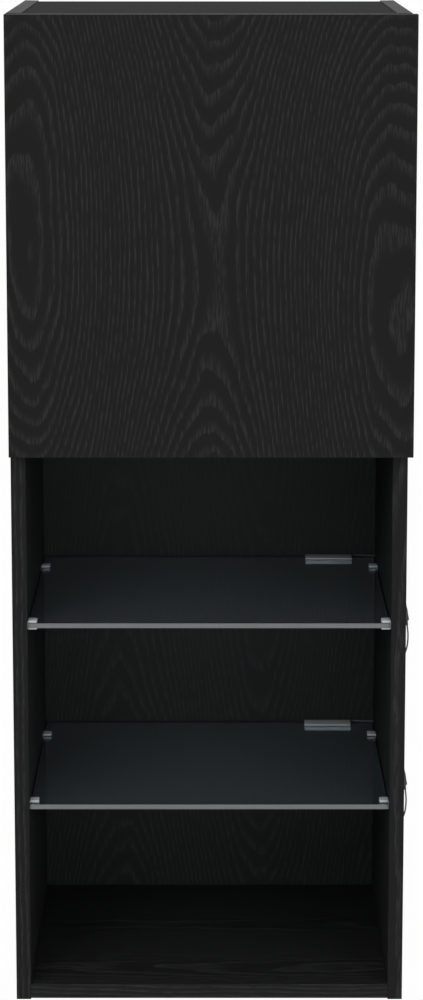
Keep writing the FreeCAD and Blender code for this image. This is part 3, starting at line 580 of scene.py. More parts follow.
class Finishes:
    """Every finish of the cabinet, made once and found by name."""

    def __init__(self) -> None:
        """Build all the materials."""
        door_low, door_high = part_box("door_panel")
        back_low, back_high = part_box("back_panel")
        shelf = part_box("lower_glass_shelf")
        mid = (door_low + door_high) / 2
        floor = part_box("bottom_panel")
        lying = {"arch": 20.0, "lean": 16.0, "stripe": 0.12, "rings": 18.0}
        recipes = [
            OakFinish("black_oak_door", Grain.UPRIGHT_FRONT, (0.003, door_low.y, mid.z - 0.022), seed=3.7),
            # The upright boards get a paler ground and pores than the door's same oak, to lift their shaded
            # inner faces: painted light.
            OakFinish("black_oak_upright", Grain.UPRIGHT_SIDE, (0.0, -0.15, back_low.z + 0.42), arch=7.0,
                      lean=9.0, rise=4.0, wander=3.0, seed=8.3, gloss=0.06,
                      ground=(0.0106, 0.0107, 0.0109), pore=(0.0255, 0.0255, 0.0259)),
            OakFinish("black_oak_lying", Grain.LYING, (0.05, -0.12, floor[1].z), seed=5.1,
                      ground=(0.0095, 0.0096, 0.0098), pore=(0.024, 0.024, 0.0245), **lying),
            OakFinish("black_oak_top", Grain.LYING, (-0.03, -0.10, back_high.z), seed=14.2, gloss=0.015,
                      roughness=0.62, **lying),
            # The back board's ground and pores are paler and greener than the door's, to lift the shaded back
            # wall: painted light.
            OakFinish("black_oak_back", Grain.UPRIGHT_FRONT, (-0.095, back_low.y, shelf[1].z + 0.12),
                      ground=(0.0128, 0.0145, 0.0139), pore=(0.0285, 0.0310, 0.0298), stripe=0.15, rings=20.0,
                      arch=18.0, lean=20.0, rise=-26.0, seed=11.9, gloss=0.15),
            GlassFinish(),
            GroundEdgeFinish(),
            # The near-black edge finish for the glass's sides and rear is painted shade.
            GroundEdgeFinish("painted_shade_glass_edge", (0.014, 0.020, 0.023)),
            MouldedFinish("support_plastic", (0.46, 0.49, 0.51), 0.24, 0.5, clearness=0.06),
            MetalFinish("satin_clip_steel", (0.60, 0.615, 0.635), 0.45, metallic=0.05),
            MouldedFinish("lamp_board", (0.72, 0.72, 0.69), 0.42, 0.4),
            MouldedFinish("frosted_lens", (0.80, 0.83, 0.85), 0.34, 0.45, clearness=0.45),
            MouldedFinish("black_rubber", (0.030, 0.030, 0.031), 0.62, 0.3),
            MouldedFinish("lead_sheath", (0.085, 0.087, 0.090), 0.40, 0.45, count=3800.0),
            MouldedFinish("connector_plastic", (0.060, 0.062, 0.064), 0.46, 0.42),
            MouldedFinish("beech", (0.52, 0.36, 0.21), 0.6, 0.25, count=900.0, relief=0.3),
            MouldedFinish("clear_rubber", (0.55, 0.57, 0.57), 0.18, 0.5, clearness=0.6),
            MouldedFinish("die_cast_zinc", (0.46, 0.46, 0.45), 0.45, 0.5, metallic=1.0, count=1500.0,
                          relief=0.25),
            MetalFinish("plated_bracket", (0.56, 0.57, 0.58), 0.36, along=(0, 0, 1), across=(1, 1, 0)),
            MetalFinish("plated_screw", (0.58, 0.58, 0.57), 0.30, count=2500.0),
            MetalFinish("nickel_hinge", (0.60, 0.585, 0.56), 0.24, along=(0, 1, 0), across=(1, 0, 1),
                        count=2200.0),
        ]
        self.found = {recipe.name: recipe.build() for recipe in recipes}

    def dress(self, piece: bpy.types.Object, *names: str) -> bpy.types.Object:
        """Give a piece these finishes as its material slots, in order."""
        slots = piece.data.materials
        for index, name in enumerate(names):
            if index < len(slots):
                slots[index] = self.found[name]
            else:
                slots.append(self.found[name])
        return piece


# ---------------------------------------------------------------- shaping


def rounded_block(low: Sequence[float], high: Sequence[float], rounding: float,
                  segments: int = 3) -> bmesh.types.BMesh:
    """A block between two corners with rounded edges.

    Args:
        low: Its lowest corner.
        high: Its highest corner.
        rounding: The radius of its edges.
        segments: How many faces round an edge.

    Returns:
        The block as a new bmesh.
    """
    low, high = Vector(low), Vector(high)
    part = bmesh.new()
    bmesh.ops.create_cube(part, size=1.0)
    bmesh.ops.scale(part, vec=high - low, verts=part.verts)
    bmesh.ops.translate(part, vec=(low + high) / 2, verts=part.verts)
    if rounding > 0:
        bmesh.ops.bevel(part, geom=list(part.edges), offset=rounding, segments=segments, profile=0.5,
                        affect="EDGES", material=-1)
    return part


def turned(profile: Sequence[tuple[float, float]], steps: int = 32) -> bmesh.types.BMesh:
    """A turned part about Z.

    Args:
        profile: Radius and height of each point, from one pole to the other.
        steps: How many faces go round it.

    Returns:
        The part as a new bmesh, closed at both poles.
    """
    part = bmesh.new()
    points = [part.verts.new((radius, 0.0, height)) for radius, height in profile]
    lines = [part.edges.new(pair) for pair in zip(points, points[1:])]
    bmesh.ops.spin(part, geom=points + lines, cent=(0, 0, 0), axis=(0, 0, 1), angle=math.tau, steps=steps,
                   use_merge=True)
    bmesh.ops.remove_doubles(part, verts=part.verts, dist=1e-7)
    bmesh.ops.recalc_face_normals(part, faces=part.faces)
    return part


def extruded(outline: Sequence[Point], reach: Point, rounding: float = 0.0,
             segments: int = 2) -> bmesh.types.BMesh:
    """A flat outline drawn out along a straight line, with rounded edges.

    Args:
        outline: The corners of the outline, in order.
        reach: How far and which way it is drawn out.
        rounding: The radius of its edges.
        segments: How many faces round an edge.

    Returns:
        The part as a new bmesh.
    """
    part = bmesh.new()
    face = part.faces.new([part.verts.new(corner) for corner in outline])
    made = bmesh.ops.extrude_face_region(part, geom=[face])["geom"]
    moved = [item for item in made if isinstance(item, bmesh.types.BMVert)]
    bmesh.ops.translate(part, vec=reach, verts=moved)
    bmesh.ops.recalc_face_normals(part, faces=part.faces)
    if rounding > 0:
        bmesh.ops.bevel(part, geom=list(part.edges), offset=rounding, segments=segments, profile=0.5,
                        affect="EDGES", material=-1)
    return part


def facing(axis: Sequence[float], centre: Sequence[float]) -> Matrix:
    """The placement that turns +Z to an axis and moves the origin to a centre."""
    turn = Vector((0, 0, 1)).rotation_difference(Vector(axis)).to_matrix().to_4x4()
    return Matrix.Translation(Vector(centre)) @ turn


def linked(name: str, data: bpy.types.ID) -> bpy.types.Object:
    """A new object of a mesh, curve or lamp, in the scene."""
    made = bpy.data.objects.new(name, data)
    bpy.context.scene.collection.objects.link(made)
    return made


class Boolean(Enum):
    """What two solids make together."""

    LESS = "DIFFERENCE"
    JOINED = "UNION"


def combined(first: bmesh.types.BMesh, second: bmesh.types.BMesh, way: Boolean) -> bmesh.types.BMesh:
    """Two solids made into one, both of which are used up.

    Args:
        first: The solid to cut or to add to.
        second: The solid to take away or to add.
        way: Whether the second is taken away or added.

    Returns:
        What they make, as a new bmesh.
    """
    held = []
    for label, part in (("first", first), ("second", second)):
        data = bpy.data.meshes.new(label)
        part.to_mesh(data)
        part.free()
        held.append(linked(label, data))
    modifier = held[0].modifiers.new("combine", "BOOLEAN")
    modifier.operation = way.value
    modifier.object = held[1]
    modifier.solver = "EXACT"
    graph = bpy.context.evaluated_depsgraph_get()
    left = bpy.data.meshes.new_from_object(held[0].evaluated_get(graph))
    result = bmesh.new()
    result.from_mesh(left)
    bpy.data.meshes.remove(left)
    for item in held:
        data = item.data
        bpy.data.objects.remove(item)
        bpy.data.meshes.remove(data)
    return result


class Shape:
    """A piece's mesh, which grows part by part and then becomes an object."""

    def __init__(self) -> None:
        """Start empty."""
        self.mesh = bmesh.new()

    def add(self, part: bmesh.types.BMesh, place: Matrix | None = None, slot: int = 0) -> "Shape":
        """Add a part and free it.

        Args:
            part: The part.
            place: Where it goes.
            slot: The number of its material slot.

        Returns:
            The same shape.
        """
        if place is not None:
            bmesh.ops.transform(part, matrix=place, verts=part.verts)
        for face in part.faces:
            face.material_index = slot
        scratch = bpy.data.meshes.new("scratch")
        part.to_mesh(scratch)
        part.free()
        self.mesh.from_mesh(scratch)
        bpy.data.meshes.remove(scratch)
        return self

    def piece(self, name: str, body: str, slot: str, *replaced: str,
              crease_deg: float = 32.0) -> bpy.types.Object:
        """Turn the shape into a piece of the cabinet.

        Args:
            name: The piece's name.
            body: The body that it rides on.
            slot: The material slot of the record; it is not used.
            replaced: The nodes that it stands for.
            crease_deg: The least turn between faces that stays a crease.

        Returns:
            The piece.
        """
        data = bpy.data.meshes.new(name)
        self.mesh.to_mesh(data)
        self.mesh.free()
        data.polygons.foreach_set("use_smooth", [True] * len(data.polygons))
        data.set_sharp_from_angle(angle=math.radians(crease_deg))
        made = linked(name, data)
        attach(made, body)
        if replaced:
            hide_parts(*replaced)
        return made


def solids(node: str) -> list[tuple[Vector, Vector]]:
    """The boxes of the separate solids of a CAD node.

    Args:
        node: The node's name.

    Returns:
        The lowest and highest corner of each, in the order of X, then Y, then Z.
    """
    copy = bmesh.new()
    copy.from_mesh(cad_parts[node].data)
    bmesh.ops.remove_doubles(copy, verts=copy.verts, dist=1e-6)
    left, found = set(copy.verts), []
    while left:
        todo, places = [left.pop()], []
        while todo:
            vert = todo.pop()
            places.append(vert.co.copy())
            near = {edge.other_vert(vert) for edge in vert.link_edges} & left
            left -= near
            todo += near
        found.append((Vector(map(min, zip(*places))), Vector(map(max, zip(*places)))))
    copy.free()
    return sorted(found, key=lambda box: tuple(round(part, 4) for part in (box[0] + box[1]) / 2))


# ---------------------------------------------------------------- leads


@dataclass(frozen=True)
class LeadCoil:
    """The put-away part of a supply lead: turns laid side by side and on each other."""

    centre: Point
    mean_radius: float = 0.0105
    diameter: float = 0.0018
    layers: int = 4
    turns: int = 14
    steps: int = 16

    def lanes(self) -> list[tuple[float, float]]:
        """Radius and X of each turn, outer to inner in one layer and back in the next."""
        middle = (self.layers - 1) / 2
        found = []
        for layer in range(self.layers):
            order = range(self.layers) if layer % 2 else reversed(range(self.layers))
            for row in order:
                found.append((self.mean_radius + (row - middle) * self.diameter,
                              self.centre[0] + (layer - middle) * self.diameter))
        return found

    def points(self) -> list[Point]:
        """Control points of all the turns; a spline's turn is a little smaller than its points' circle."""
        lanes = self.lanes()
        wider = 2.0 / (1.0 + math.cos(math.pi / self.steps) ** 2)
        found = []
        for index in range(self.turns * self.steps + 1):
            turn, share = divmod(index / self.steps, 1.0)
            here, after = lanes[int(turn)], lanes[int(turn) + 1]
            radius = wider * (here[0] + (after[0] - here[0]) * share)
            angle = math.tau * share
            found.append((here[1] + (after[1] - here[1]) * share, self.centre[1] + radius * math.cos(angle),
                          self.centre[2] - radius * math.sin(angle)))
        return found


@dataclass
class LampWiring:
    """One lamp's lead, in-line connector, supply lead with its coil and tie, and supply plug."""

    shelf: str
    finishes: Finishes
    diameter: float = 0.0018
    connector_top: Point = (0.2165, -0.0080, -0.0499)
    connector_tilt_deg: float = 10.5
    half_length: float = 0.012
    width: float = 0.0064
    thickness: float = 0.0044
    tie_width: float = 0.0032
    supply_length: float = 1.0

    def __post_init__(self) -> None:
        """Find the level of this lamp's shelf."""
        self.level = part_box(f"{self.shelf}_glass_shelf")[1].z

    def at(self, points: Iterable[Point]) -> list[Vector]:
        """Points at this shelf's level."""
        return [Vector((x, y, z + self.level)) for x, y, z in points]

    def axis(self) -> Vector:
        """The way down along the connector, which leans outwards."""
        tilt = math.radians(self.connector_tilt_deg)
        return Vector((math.sin(tilt), 0.0, -math.cos(tilt)))

    def curve(self, name: str, points: Sequence[Vector]) -> bpy.types.Object:
        """A round lead whose smooth line is led by these points."""
        data = bpy.data.curves.new(name, "CURVE")
        data.dimensions = "3D"
        data.bevel_depth = 1.0
        data.bevel_resolution = 3
        data.resolution_u = 5
        data.use_fill_caps = True
        spline = data.splines.new("NURBS")
        spline.points.add(len(points) - 1)
        for target, point in zip(spline.points, points):
            target.co = (*point, 1.0)
            target.radius = self.diameter / 2
        spline.order_u = 3
        spline.use_endpoint_u = True
        made = linked(name, data)
        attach(made, CARCASS)
        return self.finishes.dress(made, "lead_sheath")

    def connector_half(self, name: str, top: Vector, ribs: int, node: str) -> bpy.types.Object:
        """One half of the in-line connector: a rounded body with grip ribs and a collar at its mouth.

        Args:
            name: The piece's name.
            top: The middle of its upper end.
            ribs: How many grip ribs it has on each broad face.
            node: The node that it stands for.

        Returns:
            The piece.
        """
        half_width, half_thick = self.width / 2, self.thickness / 2
        gap, collar, lip = 0.0003, 0.0022, 0.0002
        rib_start, rib_step, rib_height = 0.0030, 0.0014, 0.0006
        rib_reach, rib_half = half_width * 0.66, 0.00028
        base = self.half_length - collar if ribs else 0.0
        shape = Shape()
        shape.add(rounded_block((-half_width, -half_thick, gap),
                                (half_width, half_thick, self.half_length - gap), 0.0009, 4))
        shape.add(rounded_block((-half_width - lip, -half_thick - lip, base),
                                (half_width + lip, half_thick + lip, base + collar), 0.0006, 3))
        for index in range(ribs):
            z = rib_start + index * rib_step
            for y in (-half_thick, half_thick):
                shape.add(rounded_block((-rib_reach, y - rib_half, z),
                                        (rib_reach, y + rib_half, z + rib_height), 0.00025, 2))
        turn = Matrix.Rotation(-math.radians(self.connector_tilt_deg), 4, "Y")
        place = Matrix.Translation(top) @ turn @ Matrix.Rotation(math.pi, 4, "X")
        bmesh.ops.transform(shape.mesh, matrix=place, verts=shape.mesh.verts)
        made = shape.piece(name, CARCASS, "connector_plastic", node)
        return self.finishes.dress(made, "connector_plastic")

    def relief(self, name: str, root: Vector, axis: Vector, length: float, wide: float) -> bpy.types.Object:
        """A tapered strain relief that narrows along an axis to the lead's own size."""
        groove, rings = 0.00022, 3
        slim = self.diameter / 2 + groove
        profile = [(0.0, 0.0), (wide, 0.0), (wide, length * 0.12)]
        for index in range(rings):
            share = 0.2 + 0.7 * index / rings
            radius = wide + (slim - wide) * share
            profile += [(radius, length * share), (radius - groove, length * (share + 0.06)),
                        (radius - groove, length * (share + 0.14)),
                        (radius - 0.00006, length * (share + 0.18))]
        profile += [(slim, length), (0.0, length)]
        made = Shape().add(turned(profile, 24), facing(axis, root)).piece(name, CARCASS, "connector_plastic")
        return self.finishes.dress(made, "connector_plastic")

    def grommet(self) -> bpy.types.Object:
        """The ribbed rubber sleeve where the lead leaves the lamp clip."""
        low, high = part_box(f"{self.shelf}_lead_grommet")
        radius, length = (high.z - low.z) / 2, high.x - low.x
        shares = [(0.0, 0.0), (1.0, 0.0), (1.0, 0.25), (0.82, 0.32), (0.82, 0.45), (0.93, 0.50), (0.9, 0.68),
                  (0.76, 0.74), (0.76, 0.82), (0.84, 0.88), (0.78, 1.0), (0.0, 1.0)]
        profile = [(radius * wide, length * far) for wide, far in shares]
        root = Vector((low.x, (low.y + high.y) / 2, (low.z + high.z) / 2))
        name = f"{self.shelf}_lead_sleeve"
        made = Shape().add(turned(profile, 28), facing((1, 0, 0), root)).piece(
            name, CARCASS, "grommet_rubber", f"{self.shelf}_lead_grommet")
        return self.finishes.dress(made, "black_rubber")

    def plug(self) -> tuple[bpy.types.Object, Vector]:
        """The small supply plug: a rounded body with ribs and a two-pin nose.

        Returns:
            The piece, and the middle of its lower end, where the lead enters.
        """
        low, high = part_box(f"{self.shelf}_supply_plug")
        shape = Shape()
        nose = 0.0042
        shape.add(rounded_block(low, (high.x, high.y, high.z - nose), 0.0009, 4))
        inset = Vector((0.0005, 0.0006, 0.0))
        shape.add(rounded_block(Vector((low.x, low.y, high.z - nose - 0.0004)) + inset,
                                high - inset, 0.0004, 3))
        middle = (low + high) / 2
        for index in range(4):
            z = low.z + 0.0022 + index * 0.0015
            shape.add(rounded_block((high.x - 0.0003, low.y + 0.0012, z),
                                    (high.x + 0.0002, high.y - 0.0012, z + 0.0007), 0.0002, 2))
        made = shape.piece(f"{self.shelf}_supply_plug_body", CARCASS, "connector_plastic",
                           f"{self.shelf}_supply_plug")
        return self.finishes.dress(made, "connector_plastic"), Vector((middle.x, middle.y, low.z))

    def tie(self, coil: LeadCoil) -> bpy.types.Object:
        """A soft band round the coil's turns, at the top of the ring."""
        half = coil.layers * coil.diameter / 2 + 0.00006
        sheet = 0.0003
        middle = Vector((coil.centre[0], coil.centre[1], coil.centre[2] + coil.mean_radius))
        reach = Vector((half + sheet, self.tie_width / 2, half + sheet))
        band = rounded_block(middle - reach, middle + reach, 0.0007, 3)
        through = Vector((half, self.tie_width, half))
        hole = rounded_block(middle - through, middle + through, 0.0005, 3)
        shape = Shape().add(combined(band, hole, Boolean.LESS))
        made = shape.piece(f"{self.shelf}_coil_tie", CARCASS, "grommet_rubber")
        return self.finishes.dress(made, "black_rubber")

    def build(self) -> list[bpy.types.Object]:
        """Make both leads and everything on them.

        Returns:
            All the pieces.
        """
        name = self.shelf
        lamp_route = self.at([(0.1616, -0.0070, 0.0017), (0.1830, -0.0072, 0.0012), (0.2095, -0.0070, 0.0010),
                              (0.2132, -0.0076, -0.0260), self.connector_top])
        top = lamp_route[-1]
        middle = top + self.axis() * self.half_length
        end = middle + self.axis() * self.half_length
        sleeve = self.grommet()
        socket = self.connector_half(f"{name}_connector_socket_body", top, 4, f"{name}_connector_socket")
        plug_half = self.connector_half(f"{name}_connector_plug_body", middle, 0, f"{name}_connector_plug")
        lamp_relief = self.relief(f"{name}_socket_relief", top, Vector((-0.12, 0.0, 1.0)), 0.0045, 0.0017)
        supply_relief = self.relief(f"{name}_plug_relief", end, Vector((0.18, 0.0, -1.0)), 0.0055, 0.0018)
        lamp_lead = self.curve(f"{name}_lamp_lead_cord", lamp_route)
        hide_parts(f"{name}_lamp_lead")
        coil_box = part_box(f"{name}_lead_coil")
        coil = LeadCoil(tuple((coil_box[0] + coil_box[1]) / 2), diameter=self.diameter)
        plug, entry = self.plug()
        route = self.at([(0.22087, -0.0080, -0.0735), (0.22277, -0.0080, -0.0839), (0.2229, -0.0082, -0.0970),
                         (0.2210, -0.0080, -0.1090), (0.2146, -0.0078, -0.1210), (0.2072, -0.0072, -0.1290),
                         (0.2021, -0.0052, -0.1350)])
        x, y, z = coil.centre
        tail = [(x + 0.0034, y + 0.0106, z - 0.0058), (x + 0.0044, y + 0.0066, z - 0.0112),
                (x + 0.0056, y + 0.0002, z - 0.0166), (entry.x, y - 0.0060, z - 0.0196),
                (entry.x, entry.y - 0.0002, z - 0.0190), (entry.x, entry.y, entry.z + 0.0002)]
        led = [*route, *map(Vector, coil.points()), *map(Vector, tail)]
        supply_lead = self.curve(f"{name}_supply_lead_cord", led)
        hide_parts(f"{name}_supply_lead", f"{name}_lead_coil")
        tie = self.tie(coil)
        return [sleeve, socket, plug_half, lamp_relief, supply_relief, lamp_lead, supply_lead, plug, tie]


# ---------------------------------------------------------------- glass shelves and lamps


@dataclass
class GlassShelf:
    """One clear shelf with ground edges, and its four clamp supports."""

    name: str
    finishes: Finishes
    arris: float = 0.0005
    lip: float = 0.003
    foot: float = 0.0015
    web: float = 0.0007
    pin_radius: float = 0.0025

    def plate(self) -> bpy.types.Object:
        """The glass plate: clear faces, a pale ground front edge, and edges at the sides and rear painted
        dark as shade.
        """
        node = f"{self.name}_glass_shelf"
        low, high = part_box(node)
        shape = Shape().add(rounded_block(low, high, self.arris, 2))
        for face in shape.mesh.faces:
            flat = abs(face.normal.z) > 0.95
            # Side and rear edges take the near-black finish of painted shade.
            face.material_index = 0 if flat else 1 if face.normal.y < -0.3 else 2
        made = shape.piece(f"{self.name}_glass_plate", CARCASS, "clear_glass", node, crease_deg=20.0)
        return self.finishes.dress(made, "clear_glass", "ground_glass_edge", "painted_shade_glass_edge")

    def support(self, shape: Shape, low: Vector, high: Vector) -> None:
        """Add one support: a domed lip over the glass, a thin web, a foot and the pin in the side panel.

        Args:
            shape: The group that it joins.
            low: The lowest corner of the support with its pin.
            high: Its highest corner.
        """
        side = 1.0 if low.x + high.x > 0 else -1.0
        pin = 0.008
        wall = high.x - pin if side > 0 else low.x + pin
        free = low.x if side > 0 else high.x
        x_low, x_high = sorted((wall, free))
        shape.add(rounded_block((x_low, low.y, high.z - self.lip), (x_high, high.y, high.z), 0.0013, 4))
        web_low, web_high = sorted((wall, wall - side * self.web))
        shape.add(rounded_block((web_low, low.y + 0.0006, low.z + 0.0004),
                                (web_high, high.y - 0.0006, high.z - 0.0016), 0.0002, 2))
        shape.add(rounded_block((x_low, low.y, low.z), (x_high, high.y, low.z + self.foot), 0.0006, 3))
        rib_y = (low.y + high.y) / 2
        shape.add(rounded_block((x_low + 0.0016, rib_y - 0.0005, high.z - 0.0006),
                                (x_high - 0.0016, rib_y + 0.0005, high.z + 0.00015), 0.0003, 2))
        radius = self.pin_radius
        profile = [(0.0, 0.0), (radius, 0.0), (radius, pin - 0.0009), (radius - 0.0008, pin), (0.0, pin)]
        centre_z = (low.z + self.foot + high.z - self.lip) / 2
        shape.add(turned(profile, 20), facing((side, 0, 0), (wall, rib_y, centre_z)))

    def supports(self) -> bpy.types.Object:
        """The four supports as one piece."""
        node = f"{self.name}_shelf_supports"
        shape = Shape()
        for low, high in solids(node):
            self.support(shape, low, high)
        made = shape.piece(f"{self.name}_clamp_supports", CARCASS, "clear_plastic", node, crease_deg=40.0)
        return self.finishes.dress(made, "support_plastic")

    def build(self) -> list[bpy.types.Object]:
        """Make the plate and its supports."""
        return [self.plate(), self.supports()]


@dataclass
class ClipLamp:
    """One lamp: a folded steel clip on the rear edge of the glass, with its board and lens below."""

    name: str
    finishes: Finishes
    sheet: float = 0.0008

    def clip(self) -> bpy.types.Object:
        """The folded clip: one bent profile drawn out along X, with two end caps."""
        node = f"{self.name}_lamp_clip"
        low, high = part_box(node)
        glass_low, glass_high = (corner.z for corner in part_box(f"{self.name}_glass_shelf"))
        cap = 0.0009
        seat = glass_low - self.sheet
        outline = [(low.y, high.z), (high.y, high.z), (high.y, low.z), (high.y - self.sheet, low.z),
                   (high.y - self.sheet, seat), (low.y + self.sheet, seat), (low.y + self.sheet, low.z),
                   (low.y, low.z), (low.y, glass_low), (high.y - self.sheet, glass_low),
                   (high.y - self.sheet, glass_high), (low.y, glass_high)]
        shape = Shape()
        corners = [(low.x + cap, y, z) for y, z in outline]
        shape.add(extruded(corners, (high.x - low.x - 2 * cap, 0, 0), 0.00038, 3))
        inset = 0.0002
        for start in (low.x, high.x - cap):
            for bottom, top in ((glass_high, high.z), (low.z, glass_low)):
                shape.add(rounded_block((start, low.y + inset, bottom),
                                        (start + cap, high.y - inset, top - 0.0001), 0.0004, 3))
        made = shape.piece(f"{self.name}_folded_clip", CARCASS, "brushed_clip_steel", node)
        return self.finishes.dress(made, "satin_clip_steel")

    def lens(self) -> bpy.types.Object:
        """The frosted lens with fine ribs under the board."""
        node = f"{self.name}_lamp_lens"
        low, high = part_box(node)
        shape = Shape().add(rounded_block((low.x, low.y, low.z + 0.0004), high, 0.0003, 2))
        count, inset = 22, 0.0012
        step = (high.x - low.x - 2 * inset) / count
        for index in range(count):
            x = low.x + inset + index * step
            shape.add(rounded_block((x + step * 0.12, low.y + inset, low.z),
                                    (x + step * 0.88, high.y - inset, low.z + 0.0008), 0.0003, 2))
        made = shape.piece(f"{self.name}_ribbed_lens", CARCASS, "lamp_lens", node)
        return self.finishes.dress(made, "frosted_lens")

    def build(self) -> list[bpy.types.Object]:
        """Make the clip and the lens, and dress the board."""
        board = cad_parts[f"{self.name}_lamp_board"]
        return [self.clip(), self.lens(), self.finishes.dress(board, "lamp_board")]


# ---------------------------------------------------------------- fasteners


@dataclass
class ScrewGroup:
    """Identical screws with a domed head, a cross recess and a cut thread."""

    node: str
    head_way: Point
    body: str
    slot: str
    finishes: Finishes
    head: float = 0.0012
    shank_radius: float = 0.0017
    pitch: float = 0.0012

    def screw(self, head_radius: float, length: float) -> bmesh.types.BMesh:
        """One screw along +Z with the top of its head at the origin's level.

        Args:
            head_radius: The radius of its head.
            length: Its whole length.

        Returns:
            The screw.
        """
        core = self.shank_radius * 0.74
        profile = [(0.0, -length), (core * 0.3, -length)]
        turns = int((length - self.head - self.pitch) / self.pitch)
        for index in range(turns):
            z = -length + self.pitch * (index + 0.6)
            profile += [(core, z), (self.shank_radius, z + self.pitch * 0.25), (core, z + self.pitch * 0.5)]
        profile += [(core, -self.head), (head_radius * 0.96, -self.head), (head_radius, -self.head * 0.8),
                    (head_radius * 0.93, -self.head * 0.3), (head_radius * 0.72, -self.head * 0.06),
                    (0.0, 0.0)]
        return combined(turned(profile, 28), self.cross(head_radius), Boolean.LESS)

    def cross(self, head_radius: float) -> bmesh.types.BMesh:
        """The cutter of the cross recess."""
        reach, half, deep = head_radius * 0.56, head_radius * 0.13, self.head * 0.72
        whole = Shape()
        whole.add(rounded_block((-reach, -half, -deep), (reach, half, deep), 0.0))
        upright = rounded_block((-half, -reach, -deep), (half, reach, deep), 0.0)
        bmesh.ops.scale(upright, vec=(1.02, 1.0, 1.02), verts=upright.verts)
        return combined(whole.mesh, upright, Boolean.JOINED)

    def build(self) -> bpy.types.Object:
        """Make all the group's screws as one piece."""
        shape = Shape()
        way = Vector(self.head_way)
        axis = max(range(3), key=lambda index: abs(way[index]))
        side = (axis + 1) % 3
        for low, high in solids(self.node):
            size = high - low
            top = (low + high) / 2 + way * (size[axis] / 2)
            shape.add(self.screw(size[side] / 2, size[axis]), facing(way, top))
        made = shape.piece(f"{self.node}_cut", self.body, self.slot, self.node)
        return self.finishes.dress(made, "plated_screw")


@dataclass
class DoorBumpers:
    """Soft clear domes on the back of the door."""

    finishes: Finishes

    def build(self) -> bpy.types.Object:
        """Make the domes as one piece."""
        shape = Shape()
        for low, high in solids("door_bumpers"):
            radius, height = (high.x - low.x) / 2, high.y - low.y
            profile = [(0.0, 0.0), (radius, 0.0), (radius * 0.97, height * 0.3)]
            profile += [(radius * math.cos(angle), height * (0.3 + 0.7 * math.sin(angle)))
                        for angle in (0.4, 0.8, 1.2)] + [(0.0, height)]
            centre = ((low.x + high.x) / 2, low.y, (low.z + high.z) / 2)
            shape.add(turned(profile, 28), facing((0, 1, 0), centre))
        made = shape.piece("door_bumper_domes", DOOR, "bumper_rubber", "door_bumpers")
        return self.finishes.dress(made, "clear_rubber")


# ---------------------------------------------------------------- boards and hidden fittings


class PlainParts:
    """The CAD nodes that keep their own shape, each with its finish."""

    WEAR = {
        "door_panel": "black_oak_door",
        "left_side_panel": "black_oak_upright",
        "right_side_panel": "black_oak_upright",
        "top_panel": "black_oak_top",
        "bottom_panel": "black_oak_lying",
        "divider_panel": "black_oak_lying",
        "back_panel": "black_oak_back",
        "wood_dowels": "beech",
        "cam_locks": "die_cast_zinc",
        "cam_bolts": "plated_screw",
        "back_panel_nails": "plated_screw",
        "wall_brackets": "plated_bracket",
        "hinge_cup_pins": "plated_screw",
        "hinge_arm_pins": "plated_screw",
    }

    def __init__(self, finishes: Finishes) -> None:
        """Keep the finishes."""
        self.finishes = finishes

    def build(self) -> list[bpy.types.Object]:
        """Dress every one of them."""
        wear = dict(self.WEAR)
        for level in ("lower", "upper"):
            for kind in ("cup", "arm", "plate", "link"):
                wear[f"{level}_hinge_{kind}"] = "nickel_hinge"
        return [self.finishes.dress(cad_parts[node], finish) for node, finish in wear.items()]


# ---------------------------------------------------------------- studio


@dataclass(frozen=True)
class Softbox:
    """One soft lamp that looks at the cabinet."""

    name: str
    place: Point
    width: float
    watts: float


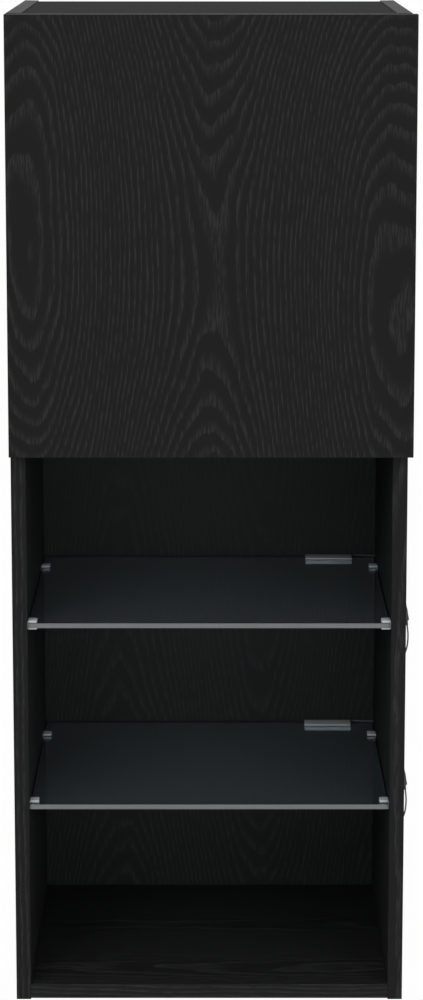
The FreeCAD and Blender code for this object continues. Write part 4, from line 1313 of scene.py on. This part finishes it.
@dataclass
class Studio:
    """A plain pale floor and room, soft lamps and an even sky."""

    ambient: float = 0.62
    floor_drop: float = 0.42
    floor_glow: float = 0.96
    aim: Point = (0.0, -0.15, -0.45)
    lamps: tuple[Softbox, ...] = (
        Softbox("key_softbox", (-1.6, -2.6, 1.3), 1.8, 34.0),
        Softbox("fill_softbox", (1.9, -2.4, 0.2), 1.8, 18.0),
        Softbox("top_softbox", (0.1, -1.3, 2.1), 1.6, 10.0),
    )

    def light(self) -> None:
        """Place the lamps."""
        for lamp in self.lamps:
            data = bpy.data.lights.new(lamp.name, "AREA")
            data.shape = "SQUARE"
            data.size = lamp.width
            data.energy = lamp.watts
            made = linked(lamp.name, data)
            made.location = lamp.place
            made.rotation_euler = (Vector(self.aim) - Vector(lamp.place)).to_track_quat("-Z", "Y").to_euler()

    @staticmethod
    def seen_directly(tree: Tree) -> bpy.types.NodeSocket:
        """1 for rays from the camera, a mirror or through glass, and 0 for the light's own rays."""
        path = tree.node("ShaderNodeLightPath").outputs
        some = tree.sum("MAXIMUM", path["Is Camera Ray"], path["Is Glossy Ray"])
        return tree.sum("MAXIMUM", some, path["Is Transmission Ray"])

    def sky(self) -> None:
        """An even white sky, dimmer for the light that it gives."""
        world = bpy.data.worlds.new("even_sky")
        world.use_nodes = True
        tree = Tree(world.node_tree)
        plain = world.node_tree.nodes["Background"]
        plain.inputs["Color"].default_value = WHITE
        plain.inputs["Strength"].default_value = self.ambient
        white = tree.node("ShaderNodeBackground", {"Color": WHITE, "Strength": 1.0})
        mixed = tree.mix(self.seen_directly(tree), plain, white)
        tree.feed(world.node_tree.nodes["World Output"].inputs["Surface"], mixed.outputs[0])
        bpy.context.scene.world = world

    def floor(self) -> bpy.types.Object:
        """A pale floor below the cabinet, which can't be seen from underneath."""
        part = bmesh.new()
        bmesh.ops.create_grid(part, x_segments=1, y_segments=1, size=14.0)
        level = CAD_BOX[0].z - self.floor_drop
        bmesh.ops.translate(part, vec=(0, 0, level), verts=part.verts)
        data = bpy.data.meshes.new("studio_floor")
        part.to_mesh(data)
        part.free()
        made = linked("studio_floor", data)
        material, tree, shader = new_material("studio_white")
        shader.inputs["Base Color"].default_value = (0.9, 0.9, 0.9, 1.0)
        shader.inputs["Roughness"].default_value = 0.9
        glow = tree.node("ShaderNodeEmission", {"Color": WHITE, "Strength": 1.0})
        clear = tree.node("ShaderNodeBsdfTransparent")
        lit = tree.mix(tree.times(self.seen_directly(tree), self.floor_glow), shader, glow)
        sided = tree.mix(tree.node("ShaderNodeNewGeometry").outputs["Backfacing"], lit, clear)
        tree.feed(material.node_tree.nodes["Material Output"].inputs["Surface"], sided.outputs[0])
        data.materials.append(material)
        return made

    def build(self) -> None:
        """Set up the room."""
        self.sky()
        self.floor()
        self.light()
        bpy.context.scene.view_settings.view_transform = "Standard"


# ---------------------------------------------------------------- the whole


def report(part: str, pieces: Iterable[bpy.types.Object]) -> None:
    """Log each finished piece of a sub-assembly."""
    for piece in pieces:
        LOG.info("%s: %s", part, piece.name)


def main() -> None:
    """Build the camera, the leads, the shelves, the lamps, the fasteners and the room."""
    logging.basicConfig(level=logging.INFO, format="%(name)s: %(message)s")
    CameraRig().build()
    finishes = Finishes()
    for shelf in ("upper", "lower"):
        report("wiring", LampWiring(shelf, finishes).build())
    for shelf in ("upper", "lower"):
        report("shelf", GlassShelf(shelf, finishes).build())
        report("lamp", ClipLamp(shelf, finishes).build())
    screws = [
        ScrewGroup("hinge_cup_screws", (0, 1, 0), DOOR, "zinc_screw", finishes),
        ScrewGroup("hinge_plate_screws", (1, 0, 0), CARCASS, "zinc_screw", finishes),
        ScrewGroup("hinge_arm_screws", (1, 0, 0), CARCASS, "zinc_screw", finishes),
        ScrewGroup("bracket_screws", (0, 0, -1), CARCASS, "zinc_screw", finishes, shank_radius=0.0019),
    ]
    report("fasteners", [group.build() for group in screws])
    report("door", [DoorBumpers(finishes).build()])
    report("boards and fittings", PlainParts(finishes).build())
    Studio().build()


if __name__ == "__main__":
    main()
